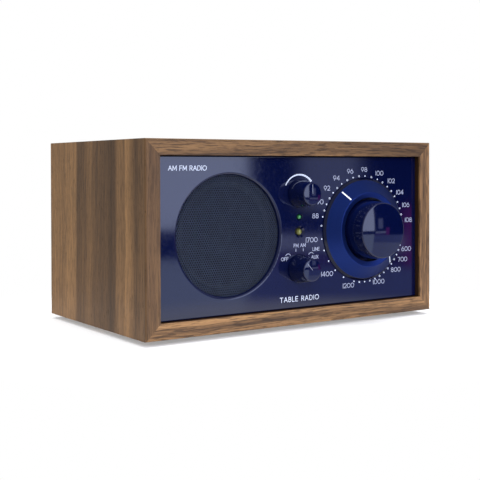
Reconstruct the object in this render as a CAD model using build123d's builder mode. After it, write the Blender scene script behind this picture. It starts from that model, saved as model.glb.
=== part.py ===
from build123d import *
import os
from math import acos, cos, pi, radians, sin, sqrt, tan

# Tabletop radio in a mitred wooden cabinet, in millimetres.
# +X is to the right of someone facing the radio, the front faces -Y, and +Z is up, with the feet on z = 0.
# A "depth" is counted back from the cabinet's front edge; heights and widths are in the part's own frame.

# ---------------------------------------------------------------- driving dimensions
CABINET_WIDTH = 212.7
CABINET_HEIGHT = 111.3
CABINET_DEPTH = 133.4
BOARD = 9.2
FOOT_HEIGHT = 3.0
KNOB_REACH = 16.7  # the tuning knob's face stands this far in front of the cabinet's edge

SLIP = 0.02  # radial room between pieces that are fixed together
RUNNING = 0.05  # radial room between a shaft and its bearing
PANEL_GAP = 0.3  # room around a panel in the cabinet's opening

PANEL_DEPTH = 4.0  # the front panel's face, behind the cabinet's edge
PANEL_BACK = 6.5
REAR_PANEL_DEPTH = 125.9
REAR_PANEL_BACK = 128.4

SPEAKER_X = -49.3
SPEAKER_Z = 58.5
GRILLE_OPENING = 35.5

DIAL_X = 51.3
DIAL_Z = 58.65
VOLUME = (0.8, 82.1)
SOURCE = (0.7, 36.4)
POWER_LED = (0.9, 67.9)
TUNING_LED = (0.9, 58.8)

PORT_X = 50.0
PORT_DEPTH = 75.0

MODULE = 0.7  # tooth size of the dial's reduction gears
SUN_TEETH = 12
PLANET_TEETH = 18
RING_TEETH = 48
PRESSURE_ANGLE = radians(20)
ADDENDUM = 0.8 * MODULE
DEDENDUM = 1.25 * MODULE
TOOTH_THINNING = 0.05

# ---------------------------------------------------------------- worked out from them
FRONT_Y = (KNOB_REACH - CABINET_DEPTH) / 2
BOTTOM = FOOT_HEIGHT
TOP = FOOT_HEIGHT + CABINET_HEIGHT
MIDDLE_Z = (BOTTOM + TOP) / 2
INNER_X = CABINET_WIDTH / 2 - BOARD
INNER_BOTTOM = BOTTOM + BOARD
INNER_TOP = TOP - BOARD
PANEL_WIDTH = 2 * (INNER_X - PANEL_GAP)
PANEL_HEIGHT = INNER_TOP - INNER_BOTTOM - 2 * PANEL_GAP
CARRIER_RADIUS = MODULE * (SUN_TEETH + PLANET_TEETH) / 2

pieces = []


def keep(piece, name):
    """Label a finished piece and put it on the list of files to write."""
    piece.part.label = name
    pieces.append(piece)


def front_plane(depth, x=0, z=0):
    """Upright plane that faces the front, with +X across and +Z up; extruding by -t goes back by t."""
    return Plane(origin=(x, FRONT_Y + depth, z), x_dir=(1, 0, 0), z_dir=(0, -1, 0))


def floor_plane(z, x=0, depth=0):
    """Level plane with +X across and the way to the back up the page; extruding goes up."""
    return Plane(origin=(x, FRONT_Y + depth, z))


def side_plane(x, depth=0, z=0):
    """Upright plane that faces +X, with the way to the back across and +Z up."""
    return Plane(origin=(x, FRONT_Y + depth, z), x_dir=(0, 1, 0), z_dir=(1, 0, 0))


def bars(places, radius, near, far, mode=Mode.ADD):
    """Round bars at each (x, z) place, running from one depth to another."""
    with BuildSketch(front_plane(near)) as section:
        with Locations(*places):
            Circle(radius)
    extrude(section.sketch, amount=near - far, mode=mode)


def block(left, right, near, far, low, high, mode=Mode.ADD):
    """A square block between two widths, two depths and two heights."""
    with BuildSketch(front_plane(near, (left + right) / 2, (low + high) / 2)) as section:
        Rectangle(right - left, high - low)
    extrude(section.sketch, amount=near - far, mode=mode)


def turned(corners, place, mode=Mode.ADD):
    """Turn a closed outline about the front-to-back line through place.

    Each corner is (radius, depth) or (radius, depth, rounding).
    """
    x, z = place
    points = [corner[:2] for corner in corners]
    rounds = [corner[2] if len(corner) > 2 else 0 for corner in corners]
    with BuildSketch(Plane(origin=(x, FRONT_Y, z), x_dir=(1, 0, 0), z_dir=(0, 0, 1))) as section:
        with BuildLine():
            FilletPolyline(*points, radius=rounds, close=True)
        make_face()
    revolve(section.sketch, axis=Axis((x, FRONT_Y, z), (0, 1, 0)), mode=mode)


def domed(face, rim, rim_round, corners, place):
    """Turn a knob about the front-to-back line through place.

    Its domed face runs from a depth at the middle to the rim, and the corners lead from there back to the middle.
    """
    x, z = place
    halfway = (rim[0] / 2, face + (rim[1] - face) / 4)
    with BuildSketch(Plane(origin=(x, FRONT_Y, z), x_dir=(1, 0, 0), z_dir=(0, 0, 1))) as section:
        with BuildLine():
            ThreePointArc((0, face), halfway, rim)
            Polyline(rim, *corners, (0, face))
        make_face()
        fillet(section.vertices().sort_by_distance(rim)[0], rim_round)
    revolve(section.sketch, axis=Axis((x, FRONT_Y, z), (0, 1, 0)))


def screws(places, tip, seat, shank, head, head_height):
    """Pan-head screws driven forwards: pointed tips at one depth, heads seated at another, cross recesses."""
    for place in places:
        turned(
            [
                (0, tip),
                (shank * 0.4, tip),
                (shank, tip + shank),
                (shank, seat),
                (head, seat),
                (head, seat + head_height, head_height * 0.7),
                (0, seat + head_height),
            ],
            place,
        )
    recess = head_height * 0.5
    with BuildSketch(front_plane(seat + head_height)) as crosses:
        with Locations(*places):
            Rectangle(head * 1.1, head * 0.22)
            Rectangle(head * 0.22, head * 1.1)
    extrude(crosses.sketch, amount=recess, mode=Mode.SUBTRACT)


def ring_of(centre, radius, count, first=0.0):
    """(x, z) places spaced evenly on a circle, the first at an angle in degrees from +X towards +Z."""
    angles = [radians(first + 360 * i / count) for i in range(count)]
    return [(centre[0] + radius * cos(a), centre[1] + radius * sin(a)) for a in angles]


# ---------------------------------------------------------------- cabinet
FRONT_ROUND = 1.0
BACK_ROUND = 1.0
PORT_TUBE = 13.5
PORT_BORE = 12.0
PORT_FLANGE = 19.0
PORT_FLANGE_THICKNESS = 2.0
PORT_TOP = 55.0

half_width = CABINET_WIDTH / 2
outer_corners = [(-half_width, BOTTOM), (half_width, BOTTOM), (half_width, TOP), (-half_width, TOP)]
inner_corners = [
    (-INNER_X, INNER_BOTTOM),
    (INNER_X, INNER_BOTTOM),
    (INNER_X, INNER_TOP),
    (-INNER_X, INNER_TOP),
]
board_names = ("cabinet_bottom", "cabinet_right_side", "cabinet_top", "cabinet_left_side")

for i, board_name in enumerate(board_names):
    j = (i + 1) % 4
    with BuildPart() as board:
        with BuildSketch(front_plane(0)):
            with BuildLine():
                Polyline(outer_corners[i], outer_corners[j], inner_corners[j], inner_corners[i], close=True)
            make_face()
        extrude(amount=-CABINET_DEPTH)
        fillet(board.edges().group_by(Axis.Y)[0].sort_by(SortBy.LENGTH)[-1], FRONT_ROUND)
        fillet(board.edges().group_by(Axis.Y)[-1].sort_by(SortBy.LENGTH)[-1], BACK_ROUND)
        if board_name == "cabinet_bottom":
            with BuildSketch(floor_plane(BOTTOM, PORT_X, PORT_DEPTH)):
                Circle(PORT_TUBE + SLIP)
            extrude(amount=BOARD, mode=Mode.SUBTRACT)
            with BuildSketch(floor_plane(BOTTOM, PORT_X, PORT_DEPTH)):
                Circle(PORT_FLANGE + SLIP)
            extrude(amount=PORT_FLANGE_THICKNESS, mode=Mode.SUBTRACT)
    keep(board, board_name)

CLEAT = 10.0
FRONT_CLEAT_DEPTH = 12.2
REAR_CLEAT_DEPTH = REAR_PANEL_DEPTH - CLEAT
PANEL_SCREW = 1.3
CORNER_SCREWS = [(side * 90.5, z) for side in (-1, 1) for z in (20.2, 97.1)]

with BuildPart() as corner_cleats:
    for depth in (FRONT_CLEAT_DEPTH, REAR_CLEAT_DEPTH):
        for side in (-1, 1):
            left, right = sorted((side * INNER_X, side * (INNER_X - CLEAT)))
            block(left, right, depth, depth + CLEAT, INNER_BOTTOM, INNER_TOP)
        bars(CORNER_SCREWS, PANEL_SCREW + SLIP, depth, depth + CLEAT, Mode.SUBTRACT)
keep(corner_cleats, "corner_cleats")

FOOT_RADIUS = 6.5
FOOT_X = 89.8
FOOT_SETBACK = 23.0

with BuildPart() as rubber_feet:
    with BuildSketch(floor_plane(0)):
        for side in (-1, 1):
            for depth in (FOOT_SETBACK, CABINET_DEPTH - FOOT_SETBACK):
                with Locations((side * FOOT_X, depth)):
                    Circle(FOOT_RADIUS)
    extrude(amount=FOOT_HEIGHT)
    fillet(rubber_feet.edges().group_by(Axis.Z)[0], 0.8)
keep(rubber_feet, "rubber_feet")

with BuildPart() as bass_port:
    with BuildSketch(front_plane(PORT_DEPTH, PORT_X)):
        with BuildLine():
            FilletPolyline(
                (PORT_BORE + 1.6, BOTTOM),
                (PORT_FLANGE, BOTTOM),
                (PORT_FLANGE, BOTTOM + PORT_FLANGE_THICKNESS),
                (PORT_TUBE, BOTTOM + PORT_FLANGE_THICKNESS),
                (PORT_TUBE, PORT_TOP),
                (PORT_BORE, PORT_TOP),
                (PORT_BORE, BOTTOM + 4.0),
                radius=[0, 0, 0, 0, 0.5, 0.5, 4.0],
                close=True,
            )
        make_face()
    revolve(axis=Axis((PORT_X, FRONT_Y + PORT_DEPTH, 0), (0, 0, 1)))
keep(bass_port, "bass_port")

# ---------------------------------------------------------------- front panel
PANEL_FLANGE = 1.8
PANEL_FLANGE_BACK = 12.0
PANEL_ROUND = 0.7
GRILLE_LIP = 1.5
DRIVER_SCREW_CIRCLE = 44.0
DRIVER_SEAT = 10.8
DRIVER_SCREW = 1.2
BUSHING = 3.5
BEARING = 5.5
BEARING_BOSS = 8.5
BEARING_BACK = 9.2
POWER_LED_RADIUS = 1.5
TUNING_LED_RADIUS = 2.3
HOUSING_PEG = 1.2
HOUSING_LUG_CIRCLE = 23.4

speaker = (SPEAKER_X, SPEAKER_Z)
dial = (DIAL_X, DIAL_Z)
driver_screw_places = ring_of(speaker, DRIVER_SCREW_CIRCLE, 4, 45)
housing_lugs = ring_of(dial, HOUSING_LUG_CIRCLE, 3, 90)

with BuildPart() as front_panel:
    with BuildSketch(front_plane(PANEL_DEPTH, 0, MIDDLE_Z)):
        Rectangle(PANEL_WIDTH, PANEL_HEIGHT)
    extrude(amount=PANEL_DEPTH - PANEL_BACK)
    fillet(front_panel.faces().sort_by(Axis.Y)[0].edges(), PANEL_ROUND)
    with BuildSketch(front_plane(PANEL_BACK, 0, MIDDLE_Z)):
        Rectangle(PANEL_WIDTH, PANEL_HEIGHT)
        offset(amount=-PANEL_FLANGE, mode=Mode.SUBTRACT)
    extrude(amount=PANEL_BACK - PANEL_FLANGE_BACK)
    bars(CORNER_SCREWS, 3.2, PANEL_BACK, FRONT_CLEAT_DEPTH)
    bars(driver_screw_places, 3.0, PANEL_BACK, DRIVER_SEAT)
    bars(housing_lugs, HOUSING_PEG, PANEL_BACK, 9.5)
    bars([dial], BEARING_BOSS, PANEL_BACK, BEARING_BACK)
    bars(CORNER_SCREWS, PANEL_SCREW + SLIP, 8.5, FRONT_CLEAT_DEPTH, Mode.SUBTRACT)
    bars(driver_screw_places, DRIVER_SCREW + SLIP, 7.5, DRIVER_SEAT, Mode.SUBTRACT)
    bars([dial], BEARING + RUNNING, PANEL_DEPTH, BEARING_BACK, Mode.SUBTRACT)
    bars([VOLUME, SOURCE], BUSHING + SLIP, PANEL_DEPTH, PANEL_BACK, Mode.SUBTRACT)
    for led, led_radius, sink in ((POWER_LED, POWER_LED_RADIUS, 2.4), (TUNING_LED, TUNING_LED_RADIUS, 3.7)):
        hole = led_radius + RUNNING
        turned([(0, PANEL_DEPTH), (sink, PANEL_DEPTH), (hole, 5.3), (hole, PANEL_BACK), (0, PANEL_BACK)], led,
               Mode.SUBTRACT)
    bars([speaker], GRILLE_OPENING, PANEL_DEPTH, PANEL_BACK, Mode.SUBTRACT)
    opening_edges = front_panel.edges().filter_by(GeomType.CIRCLE).group_by(Axis.Y)[0]
    fillet(opening_edges.sort_by(SortBy.RADIUS)[-1], GRILLE_LIP)
keep(front_panel, "front_panel")

with BuildPart() as front_panel_screws:
    screws(CORNER_SCREWS, 9.0, FRONT_CLEAT_DEPTH + CLEAT, PANEL_SCREW, 2.6, 1.8)
keep(front_panel_screws, "front_panel_screws")

# ---------------------------------------------------------------- speaker
GRILLE_RIM = 39.5
GRILLE_BACK = 7.3
GASKET_BACK = 10.3
CONE_RIM = 30.2
ROLL = 2.5  # inside radius of the surround's half roll
ROLL_MIDDLE = 33.5
COIL_FORMER = 10.2
COIL_OUTSIDE = 10.95
MAGNET_FRONT = 32.2

with BuildPart() as speaker_grille:
    bars([speaker], GRILLE_RIM, PANEL_BACK, GRILLE_BACK)
keep(speaker_grille, "speaker_grille")

with BuildPart() as driver_gasket:
    bars([speaker], GRILLE_RIM, GRILLE_BACK, GASKET_BACK)
    bars([speaker], GRILLE_OPENING, GRILLE_BACK, GASKET_BACK, Mode.SUBTRACT)
keep(driver_gasket, "driver_gasket")

with BuildPart() as driver_surround:
    roll_back = ROLL + DRIVER_SEAT - GASKET_BACK
    roll_reach = sqrt(roll_back**2 - (DRIVER_SEAT - GASKET_BACK) ** 2)
    roll_in, roll_out = ROLL_MIDDLE - roll_reach, ROLL_MIDDLE + roll_reach
    with BuildSketch(Plane(origin=(SPEAKER_X, FRONT_Y, SPEAKER_Z))):
        with BuildLine():
            Line((CONE_RIM - 1.3, GASKET_BACK), (ROLL_MIDDLE - ROLL, GASKET_BACK))
            ThreePointArc(
                (ROLL_MIDDLE - ROLL, GASKET_BACK), (ROLL_MIDDLE, GASKET_BACK + ROLL), (ROLL_MIDDLE + ROLL, GASKET_BACK)
            )
            Polyline(
                (ROLL_MIDDLE + ROLL, GASKET_BACK), (40.3, GASKET_BACK), (40.3, DRIVER_SEAT), (roll_out, DRIVER_SEAT)
            )
            ThreePointArc(
                (roll_out, DRIVER_SEAT), (ROLL_MIDDLE, GASKET_BACK + roll_back), (roll_in, DRIVER_SEAT)
            )
            Polyline((roll_in, DRIVER_SEAT), (CONE_RIM - 1.3, DRIVER_SEAT), (CONE_RIM - 1.3, GASKET_BACK))
        make_face()
    revolve(axis=Axis((SPEAKER_X, FRONT_Y, SPEAKER_Z), (0, 1, 0)))
keep(driver_surround, "driver_surround")

TERMINAL_Z = 19.5
TERMINAL_XS = (-51.0, -47.6)
TERMINAL_BACK = 16.0

with BuildPart() as driver_basket:
    turned(
        [
            (36.6, DRIVER_SEAT),
            (36.6, 13.4),
            (24.0, 27.0),
            (19.0, 27.0),
            (19.0, 31.0),
            (12.5, 31.0),
            (12.5, MAGNET_FRONT),
            (20.2, MAGNET_FRONT),
            (20.2, 28.2),
            (24.6, 28.2),
            (37.8, 13.8),
            (37.8, 12.0),
            (40.5, 12.0),
            (40.5, DRIVER_SEAT),
        ],
        speaker,
    )
    bars(driver_screw_places, 3.4, DRIVER_SEAT, 12.0)
    for ear_x, ear_z in ring_of(speaker, 41.5, 4, 45):
        bars([(ear_x, ear_z)], 3.4, DRIVER_SEAT, 12.0)
    bars([speaker], 36.6, DRIVER_SEAT, 12.0, Mode.SUBTRACT)
    bars(driver_screw_places, DRIVER_SCREW + SLIP, DRIVER_SEAT, 12.0, Mode.SUBTRACT)
    with BuildSketch(front_plane(14.6, SPEAKER_X, SPEAKER_Z)):
        with PolarLocations(30.6, 6, start_angle=30):
            Rectangle(13.0, 15.0)
    extrude(amount=-11.4, mode=Mode.SUBTRACT)
    block(-53.5, -45.1, 12.0, TERMINAL_BACK, 18.1, 20.9)
keep(driver_basket, "driver_basket")

with BuildPart() as driver_screws:
    screws(driver_screw_places, 7.9, 12.0, DRIVER_SCREW, 2.4, 1.5)
keep(driver_screws, "driver_screws")

with BuildPart() as driver_spider:
    crests = [(11.7, 0.7), (13.2, -0.7), (14.7, 0.7), (16.2, -0.7), (17.7, 0.7)]
    front_side = [(10.6, 26.5)] + [(r, 26.5 - rise) for r, rise in crests] + [(19.2, 26.5), (23.4, 26.5)]
    back_side = [(23.4, 27.0), (19.0, 27.0)] + [(r, 27.0 - rise) for r, rise in reversed(crests)]
    turned(front_side + back_side + [(10.6, 27.0)], speaker)
keep(driver_spider, "driver_spider")

with BuildPart() as driver_cone:
    turned(
        [
            (CONE_RIM, DRIVER_SEAT + 0.1),
            (CONE_RIM, 11.4),
            (COIL_FORMER + 0.35, 24.6),
            (COIL_FORMER + 0.35, 23.6),
            (CONE_RIM - 1.2, 11.2),
            (CONE_RIM - 1.2, DRIVER_SEAT + 0.1),
        ],
        speaker,
    )
keep(driver_cone, "driver_cone")

DOME_RADIUS = 18.9
DOME_FRONT = 17.6

with BuildPart() as driver_dust_cap:
    dome_centre = DOME_FRONT + DOME_RADIUS
    dome_angle = 39.4
    dome_edge = Vector(0, -1).rotate(Axis.Z, dome_angle)
    with BuildSketch(Plane(origin=(SPEAKER_X, FRONT_Y, SPEAKER_Z))):
        with BuildLine():
            CenterArc((0, dome_centre), DOME_RADIUS, -90, dome_angle)
            CenterArc((0, dome_centre), DOME_RADIUS - 0.5, -90, dome_angle)
            Line((0, dome_centre - DOME_RADIUS), (0, dome_centre - DOME_RADIUS + 0.5))
            Line(dome_edge * DOME_RADIUS + (0, dome_centre), dome_edge * (DOME_RADIUS - 0.5) + (0, dome_centre))
        make_face()
    revolve(axis=Axis((SPEAKER_X, FRONT_Y, SPEAKER_Z), (0, 1, 0)))
keep(driver_dust_cap, "driver_dust_cap")

with BuildPart() as driver_voice_coil:
    turned(
        [
            (COIL_FORMER, 22.6),
            (COIL_FORMER + 0.3, 22.6),
            (COIL_FORMER + 0.3, 31.6),
            (COIL_OUTSIDE, 31.6),
            (COIL_OUTSIDE, 36.6),
            (COIL_FORMER, 36.6),
        ],
        speaker,
    )
keep(driver_voice_coil, "driver_voice_coil")

with BuildPart() as driver_front_plate:
    bars([speaker], 20.0, MAGNET_FRONT, 35.2)
    bars([speaker], 11.4, MAGNET_FRONT, 35.2, Mode.SUBTRACT)
keep(driver_front_plate, "driver_front_plate")

with BuildPart() as driver_magnet:
    bars([speaker], 25.0, 35.2, 43.2)
    bars([speaker], 14.0, 35.2, 43.2, Mode.SUBTRACT)
    chamfer(driver_magnet.edges().filter_by(GeomType.CIRCLE).group_by(SortBy.RADIUS)[-1], 0.8)
keep(driver_magnet, "driver_magnet")

with BuildPart() as driver_yoke:
    bars([speaker], 23.5, 43.2, 46.2)
    bars([speaker], 9.7, 33.0, 43.2)
    bars([speaker], 3.0, 33.0, 46.2, Mode.SUBTRACT)
keep(driver_yoke, "driver_yoke")

BOARD_FRONT = 112.0  # the main circuit board's parts side
BOARD_BACK = 113.6
LEAD_RADIUS = 0.7

with BuildPart() as speaker_leads:
    for offset_x, start_x in zip((0.0, 3.0), TERMINAL_XS):
        corners = [
            (start_x, TERMINAL_BACK, TERMINAL_Z),
            (start_x, 24.0, TERMINAL_Z),
            (start_x + 1.0, 33.0, 14.4),
            (-30.0 + offset_x, 52.0, 13.4),
            (-17.0 + offset_x, 76.0, 13.4),
            (-5.0 + offset_x, 96.0, 14.6),
            (-4.6 + offset_x, 104.0, 24.0),
            (-4.6 + offset_x, BOARD_FRONT, 24.0),
        ]
        with BuildLine() as route:
            FilletPolyline(*[(x, FRONT_Y + depth, z) for x, depth, z in corners], radius=4.0)
        with BuildSketch(Plane(origin=route.line @ 0, z_dir=route.line % 0)) as wire:
            Circle(LEAD_RADIUS)
        sweep(wire.sketch, path=route.line)
keep(speaker_leads, "speaker_leads")

# ---------------------------------------------------------------- tuning dial and its reduction gears
HUB_FRONT = 0.8
CARRIER_FRONT = 9.5
CARRIER_BACK = 11.5
CARRIER_DISC = 15.0
GEAR_FRONT = 12.2
GEAR_BACK = 16.2
BACK_PLATE_FRONT = 16.5
BACK_PLATE_BACK = 18.0
HOUSING_BACK = 18.6
HOUSING_RADIUS = 21.0
SHAFT = 3.0
PIN = 1.5

planet_places = ring_of(dial, CARRIER_RADIUS, 3)


def involute(angle):
    return tan(angle) - angle


def draw_lobes(teeth, inner, outer, widening, first=0.0):
    """Draw a closed ring of lobes with involute flanks: a gear's teeth, or the gaps of a ring gear.

    Each flank is one arc through three points of the involute, and runs straight inwards below the base circle.
    """
    pitch_radius = MODULE * teeth / 2
    base_radius = pitch_radius * cos(PRESSURE_ANGLE)
    flank_start = max(inner, base_radius)
    pitch_angle = 2 * pi / teeth

    def half_angle(radius):
        spread = involute(PRESSURE_ANGLE) - involute(acos(min(1.0, base_radius / radius)))
        return pi / (2 * teeth) + widening / pitch_radius + spread

    def point(radius, angle):
        return (radius * cos(angle), radius * sin(angle))

    middle = (flank_start + outer) / 2
    for k in range(teeth):
        centre = first + k * pitch_angle
        rising = [point(r, centre - half_angle(r)) for r in (flank_start, middle, outer)]
        falling = [point(r, centre + half_angle(r)) for r in (outer, middle, flank_start)]
        foot = point(inner, centre - half_angle(flank_start))
        far_foot = point(inner, centre + half_angle(flank_start))
        next_foot = point(inner, centre + pitch_angle - half_angle(flank_start))
        if flank_start > inner:
            Line(foot, rising[0])
            Line(falling[2], far_foot)
        ThreePointArc(*rising)
        ThreePointArc(rising[2], point(outer, centre), falling[0])
        ThreePointArc(*falling)
        ThreePointArc(far_foot, point(inner, centre + pitch_angle / 2), next_foot)


with BuildPart() as tuning_dial:
    turned(
        [
            (BEARING + SLIP, HUB_FRONT),
            (19.8, HUB_FRONT),
            (19.8, -2.4, 0.3),
            (23.5, -3.2, 1.0),
            (31.55, 2.3, 0.5),
            (32.7, 3.4),
            (30.8, 3.4),
            (23.6, -1.4),
            (21.6, -0.9),
            (21.6, 2.8),
            (BEARING + SLIP, 2.8),
        ],
        dial,
    )
keep(tuning_dial, "tuning_dial")

with BuildPart() as tuning_knob:
    domed(
        -KNOB_REACH,
        (17.3, -KNOB_REACH + 1.2),
        0.8,
        [
            (18.9, 0.4),
            (16.9, 0.4),
            (15.5, -13.4),
            (6.0, -13.4),
            (6.0, 0.3),
            (SHAFT + SLIP, 0.3),
            (SHAFT + SLIP, -10.0),
            (0, -10.0),
        ],
        dial,
    )
keep(tuning_knob, "tuning_knob")

with BuildPart() as tuning_shaft:
    bars([dial], SHAFT, -9.9, GEAR_BACK)
    with BuildSketch(front_plane(GEAR_FRONT, DIAL_X, DIAL_Z)):
        with BuildLine():
            sun_pitch = MODULE * SUN_TEETH / 2
            draw_lobes(SUN_TEETH, sun_pitch - DEDENDUM, sun_pitch + ADDENDUM, -TOOTH_THINNING)
        make_face()
    extrude(amount=GEAR_FRONT - GEAR_BACK)
keep(tuning_shaft, "tuning_shaft")

with BuildPart() as planet_carrier:
    bars([dial], BEARING, HUB_FRONT, CARRIER_FRONT)
    bars([dial], CARRIER_DISC, CARRIER_FRONT, CARRIER_BACK)
    bars(planet_places, PIN, CARRIER_BACK, BACK_PLATE_BACK)
    bars([dial], SHAFT + RUNNING, HUB_FRONT, CARRIER_BACK, Mode.SUBTRACT)
keep(planet_carrier, "planet_carrier")

with BuildPart() as carrier_back_plate:
    bars([dial], CARRIER_DISC, BACK_PLATE_FRONT, BACK_PLATE_BACK)
    bars(planet_places, PIN + SLIP, BACK_PLATE_FRONT, BACK_PLATE_BACK, Mode.SUBTRACT)
    bars([dial], SHAFT + SLIP, BACK_PLATE_FRONT, BACK_PLATE_BACK, Mode.SUBTRACT)
keep(carrier_back_plate, "carrier_back_plate")

planet_pitch = MODULE * PLANET_TEETH / 2
for i, (planet_x, planet_z) in enumerate(planet_places):
    with BuildPart() as planet_gear:
        with BuildSketch(front_plane(GEAR_FRONT, planet_x, planet_z)):
            with BuildLine():
                gap_inwards = 2 * pi * i / 3 + pi / PLANET_TEETH
                draw_lobes(
                    PLANET_TEETH, planet_pitch - DEDENDUM, planet_pitch + ADDENDUM, -TOOTH_THINNING, gap_inwards
                )
            make_face()
            Circle(PIN + RUNNING, mode=Mode.SUBTRACT)
        extrude(amount=GEAR_FRONT - GEAR_BACK)
    keep(planet_gear, f"planet_gear_{i + 1}")

with BuildPart() as ring_gear_housing:
    bars([dial], HOUSING_RADIUS, PANEL_BACK, HOUSING_BACK)
    bars(housing_lugs, 2.8, PANEL_BACK, 8.5)
    bars([dial], 17.7, PANEL_BACK, GEAR_FRONT - 0.2, Mode.SUBTRACT)
    bars(housing_lugs, HOUSING_PEG + SLIP, PANEL_BACK, 8.5, Mode.SUBTRACT)
    with BuildSketch(front_plane(GEAR_FRONT - 0.2, DIAL_X, DIAL_Z)):
        with BuildLine():
            ring_pitch = MODULE * RING_TEETH / 2
            draw_lobes(RING_TEETH, ring_pitch - ADDENDUM, ring_pitch + DEDENDUM, TOOTH_THINNING, pi / RING_TEETH)
        make_face()
    extrude(amount=GEAR_FRONT - 0.2 - HOUSING_BACK, mode=Mode.SUBTRACT)
keep(ring_gear_housing, "ring_gear_housing")

COVER_BACK = 20.6
with BuildPart() as gear_housing_cover:
    bars([dial], HOUSING_RADIUS, HOUSING_BACK, COVER_BACK)
    bars([dial], SHAFT + RUNNING, HOUSING_BACK, COVER_BACK, Mode.SUBTRACT)
keep(gear_housing_cover, "gear_housing_cover")

CASE_HALF = 13.0
CASE_WALL = 1.5
CASE_BACK = 38.6
PLATE = 0.8
PLATE_PITCH = 2.4
FIRST_VANE = 23.2
VANE_RADIUS = 10.5

with BuildPart() as tuning_capacitor_case:
    inner_half = CASE_HALF - CASE_WALL
    block(DIAL_X - CASE_HALF, DIAL_X + CASE_HALF, COVER_BACK, CASE_BACK, DIAL_Z - CASE_HALF, DIAL_Z + CASE_HALF)
    fillet(tuning_capacitor_case.edges().filter_by(Axis.Y), 1.0)
    block(DIAL_X - inner_half, DIAL_X + inner_half, COVER_BACK + CASE_WALL, CASE_BACK,
          DIAL_Z - inner_half, DIAL_Z + inner_half, Mode.SUBTRACT)
    for i in range(3):
        near = FIRST_VANE + PLATE + 0.4 + i * PLATE_PITCH
        block(DIAL_X - inner_half, DIAL_X + inner_half, near, near + PLATE, DIAL_Z + 0.4, DIAL_Z + inner_half)
    bars([dial], 4.2, COVER_BACK + CASE_WALL, CASE_BACK, Mode.SUBTRACT)
    bars([dial], SHAFT + RUNNING, COVER_BACK, COVER_BACK + CASE_WALL, Mode.SUBTRACT)
keep(tuning_capacitor_case, "tuning_capacitor_case")

with BuildPart() as tuning_capacitor_rotor:
    bars([dial], SHAFT, BACK_PLATE_FRONT, 33.6)
    for i in range(4):
        near = FIRST_VANE + i * PLATE_PITCH
        with BuildSketch(front_plane(near, DIAL_X, DIAL_Z)):
            Circle(VANE_RADIUS)
            with Locations((0, VANE_RADIUS)):
                Rectangle(2 * VANE_RADIUS, 2 * VANE_RADIUS, mode=Mode.SUBTRACT)
        extrude(amount=-PLATE)
keep(tuning_capacitor_rotor, "tuning_capacitor_rotor")

# ---------------------------------------------------------------- volume and source controls
CONTROL_BOARD_DEPTH = 18.0
KNOB_FRONT = -9.4

for knob_name, place in (("volume_knob", VOLUME), ("source_knob", SOURCE)):
    with BuildPart() as small_knob:
        domed(
            KNOB_FRONT,
            (6.7, KNOB_FRONT + 0.25),
            0.6,
            [
                (8.75, 3.4),
                (7.0, 3.4),
                (7.0, 1.0),
                (SHAFT + SLIP, 1.0),
                (SHAFT + SLIP, -5.5),
                (0, -5.5),
            ],
            place,
        )
    keep(small_knob, knob_name)

for shaft_name, place in (("volume_control_shaft", VOLUME), ("source_switch_shaft", SOURCE)):
    with BuildPart() as control_shaft:
        bars([place], SHAFT, -5.4, 12.0)
    keep(control_shaft, shaft_name)

for body_name, place, body_radius, pins in (
    ("volume_control_body", VOLUME, 8.0, ring_of(VOLUME, 5.5, 3, 210)),
    ("source_switch_body", SOURCE, 9.0, ring_of(SOURCE, 7.0, 8)),
):
    with BuildPart() as control_body:
        turned(
            [
                (SHAFT + RUNNING, 1.8),
                (BUSHING, 1.8),
                (BUSHING, PANEL_BACK),
                (body_radius, PANEL_BACK, 0.5),
                (body_radius, 15.5, 0.5),
                (0, 15.5),
                (0, 12.3),
                (SHAFT + RUNNING, 12.3),
            ],
            place,
        )
        bars(pins, 0.5, 15.5, CONTROL_BOARD_DEPTH)
    keep(control_body, body_name)

with BuildPart() as control_nuts:
    with BuildSketch(front_plane(2.4)):
        with Locations(VOLUME, SOURCE):
            RegularPolygon(5.0, 6, major_radius=False)
            Circle(BUSHING + SLIP, mode=Mode.SUBTRACT)
    extrude(amount=2.4 - PANEL_DEPTH)
keep(control_nuts, "control_nuts")

for led_name, place, led_radius, tip in (
    ("power_led", POWER_LED, POWER_LED_RADIUS, 3.7),
    ("tuning_led", TUNING_LED, TUNING_LED_RADIUS, 3.5),
):
    with BuildPart() as led:
        turned(
            [
                (0, tip),
                (led_radius, tip, led_radius * 0.96),
                (led_radius, 8.6),
                (led_radius + 0.4, 8.6),
                (led_radius + 0.4, 9.6),
                (0, 9.6),
            ],
            place,
        )
        legs = [(place[0] + side * 1.0, place[1]) for side in (-1, 1)]
        bars(legs, 0.25, 9.6, CONTROL_BOARD_DEPTH)
    keep(led, led_name)

with BuildPart() as control_board:
    block(-10.0, 12.0, CONTROL_BOARD_DEPTH, CONTROL_BOARD_DEPTH + 1.6, 24.0, 94.0)
    fillet(control_board.edges().filter_by(Axis.Y), 1.5)
keep(control_board, "control_board")

# ---------------------------------------------------------------- main board and the parts on its front side
with BuildPart() as main_board:
    block(-8.0, 80.0, BOARD_FRONT, BOARD_BACK, 20.0, 98.0)
    fillet(main_board.edges().filter_by(Axis.Y), 2.0)
keep(main_board, "main_board")

with BuildPart() as board_capacitors:
    for place, can_radius, can_front in (
        ((8.0, 58.0), 6.3, 90.0),
        ((8.0, 74.0), 6.3, 90.0),
        ((24.0, 66.0), 5.0, 96.0),
        ((24.0, 82.0), 4.0, 100.0),
        ((10.0, 90.0), 4.0, 100.0),
    ):
        turned(
            [
                (0, can_front),
                (can_radius, can_front, 0.8),
                (can_radius, 109.4),
                (can_radius - 0.5, 110.0),
                (can_radius, 110.6),
                (can_radius, BOARD_FRONT),
                (0, BOARD_FRONT),
            ],
            place,
        )
keep(board_capacitors, "board_capacitors")

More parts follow.
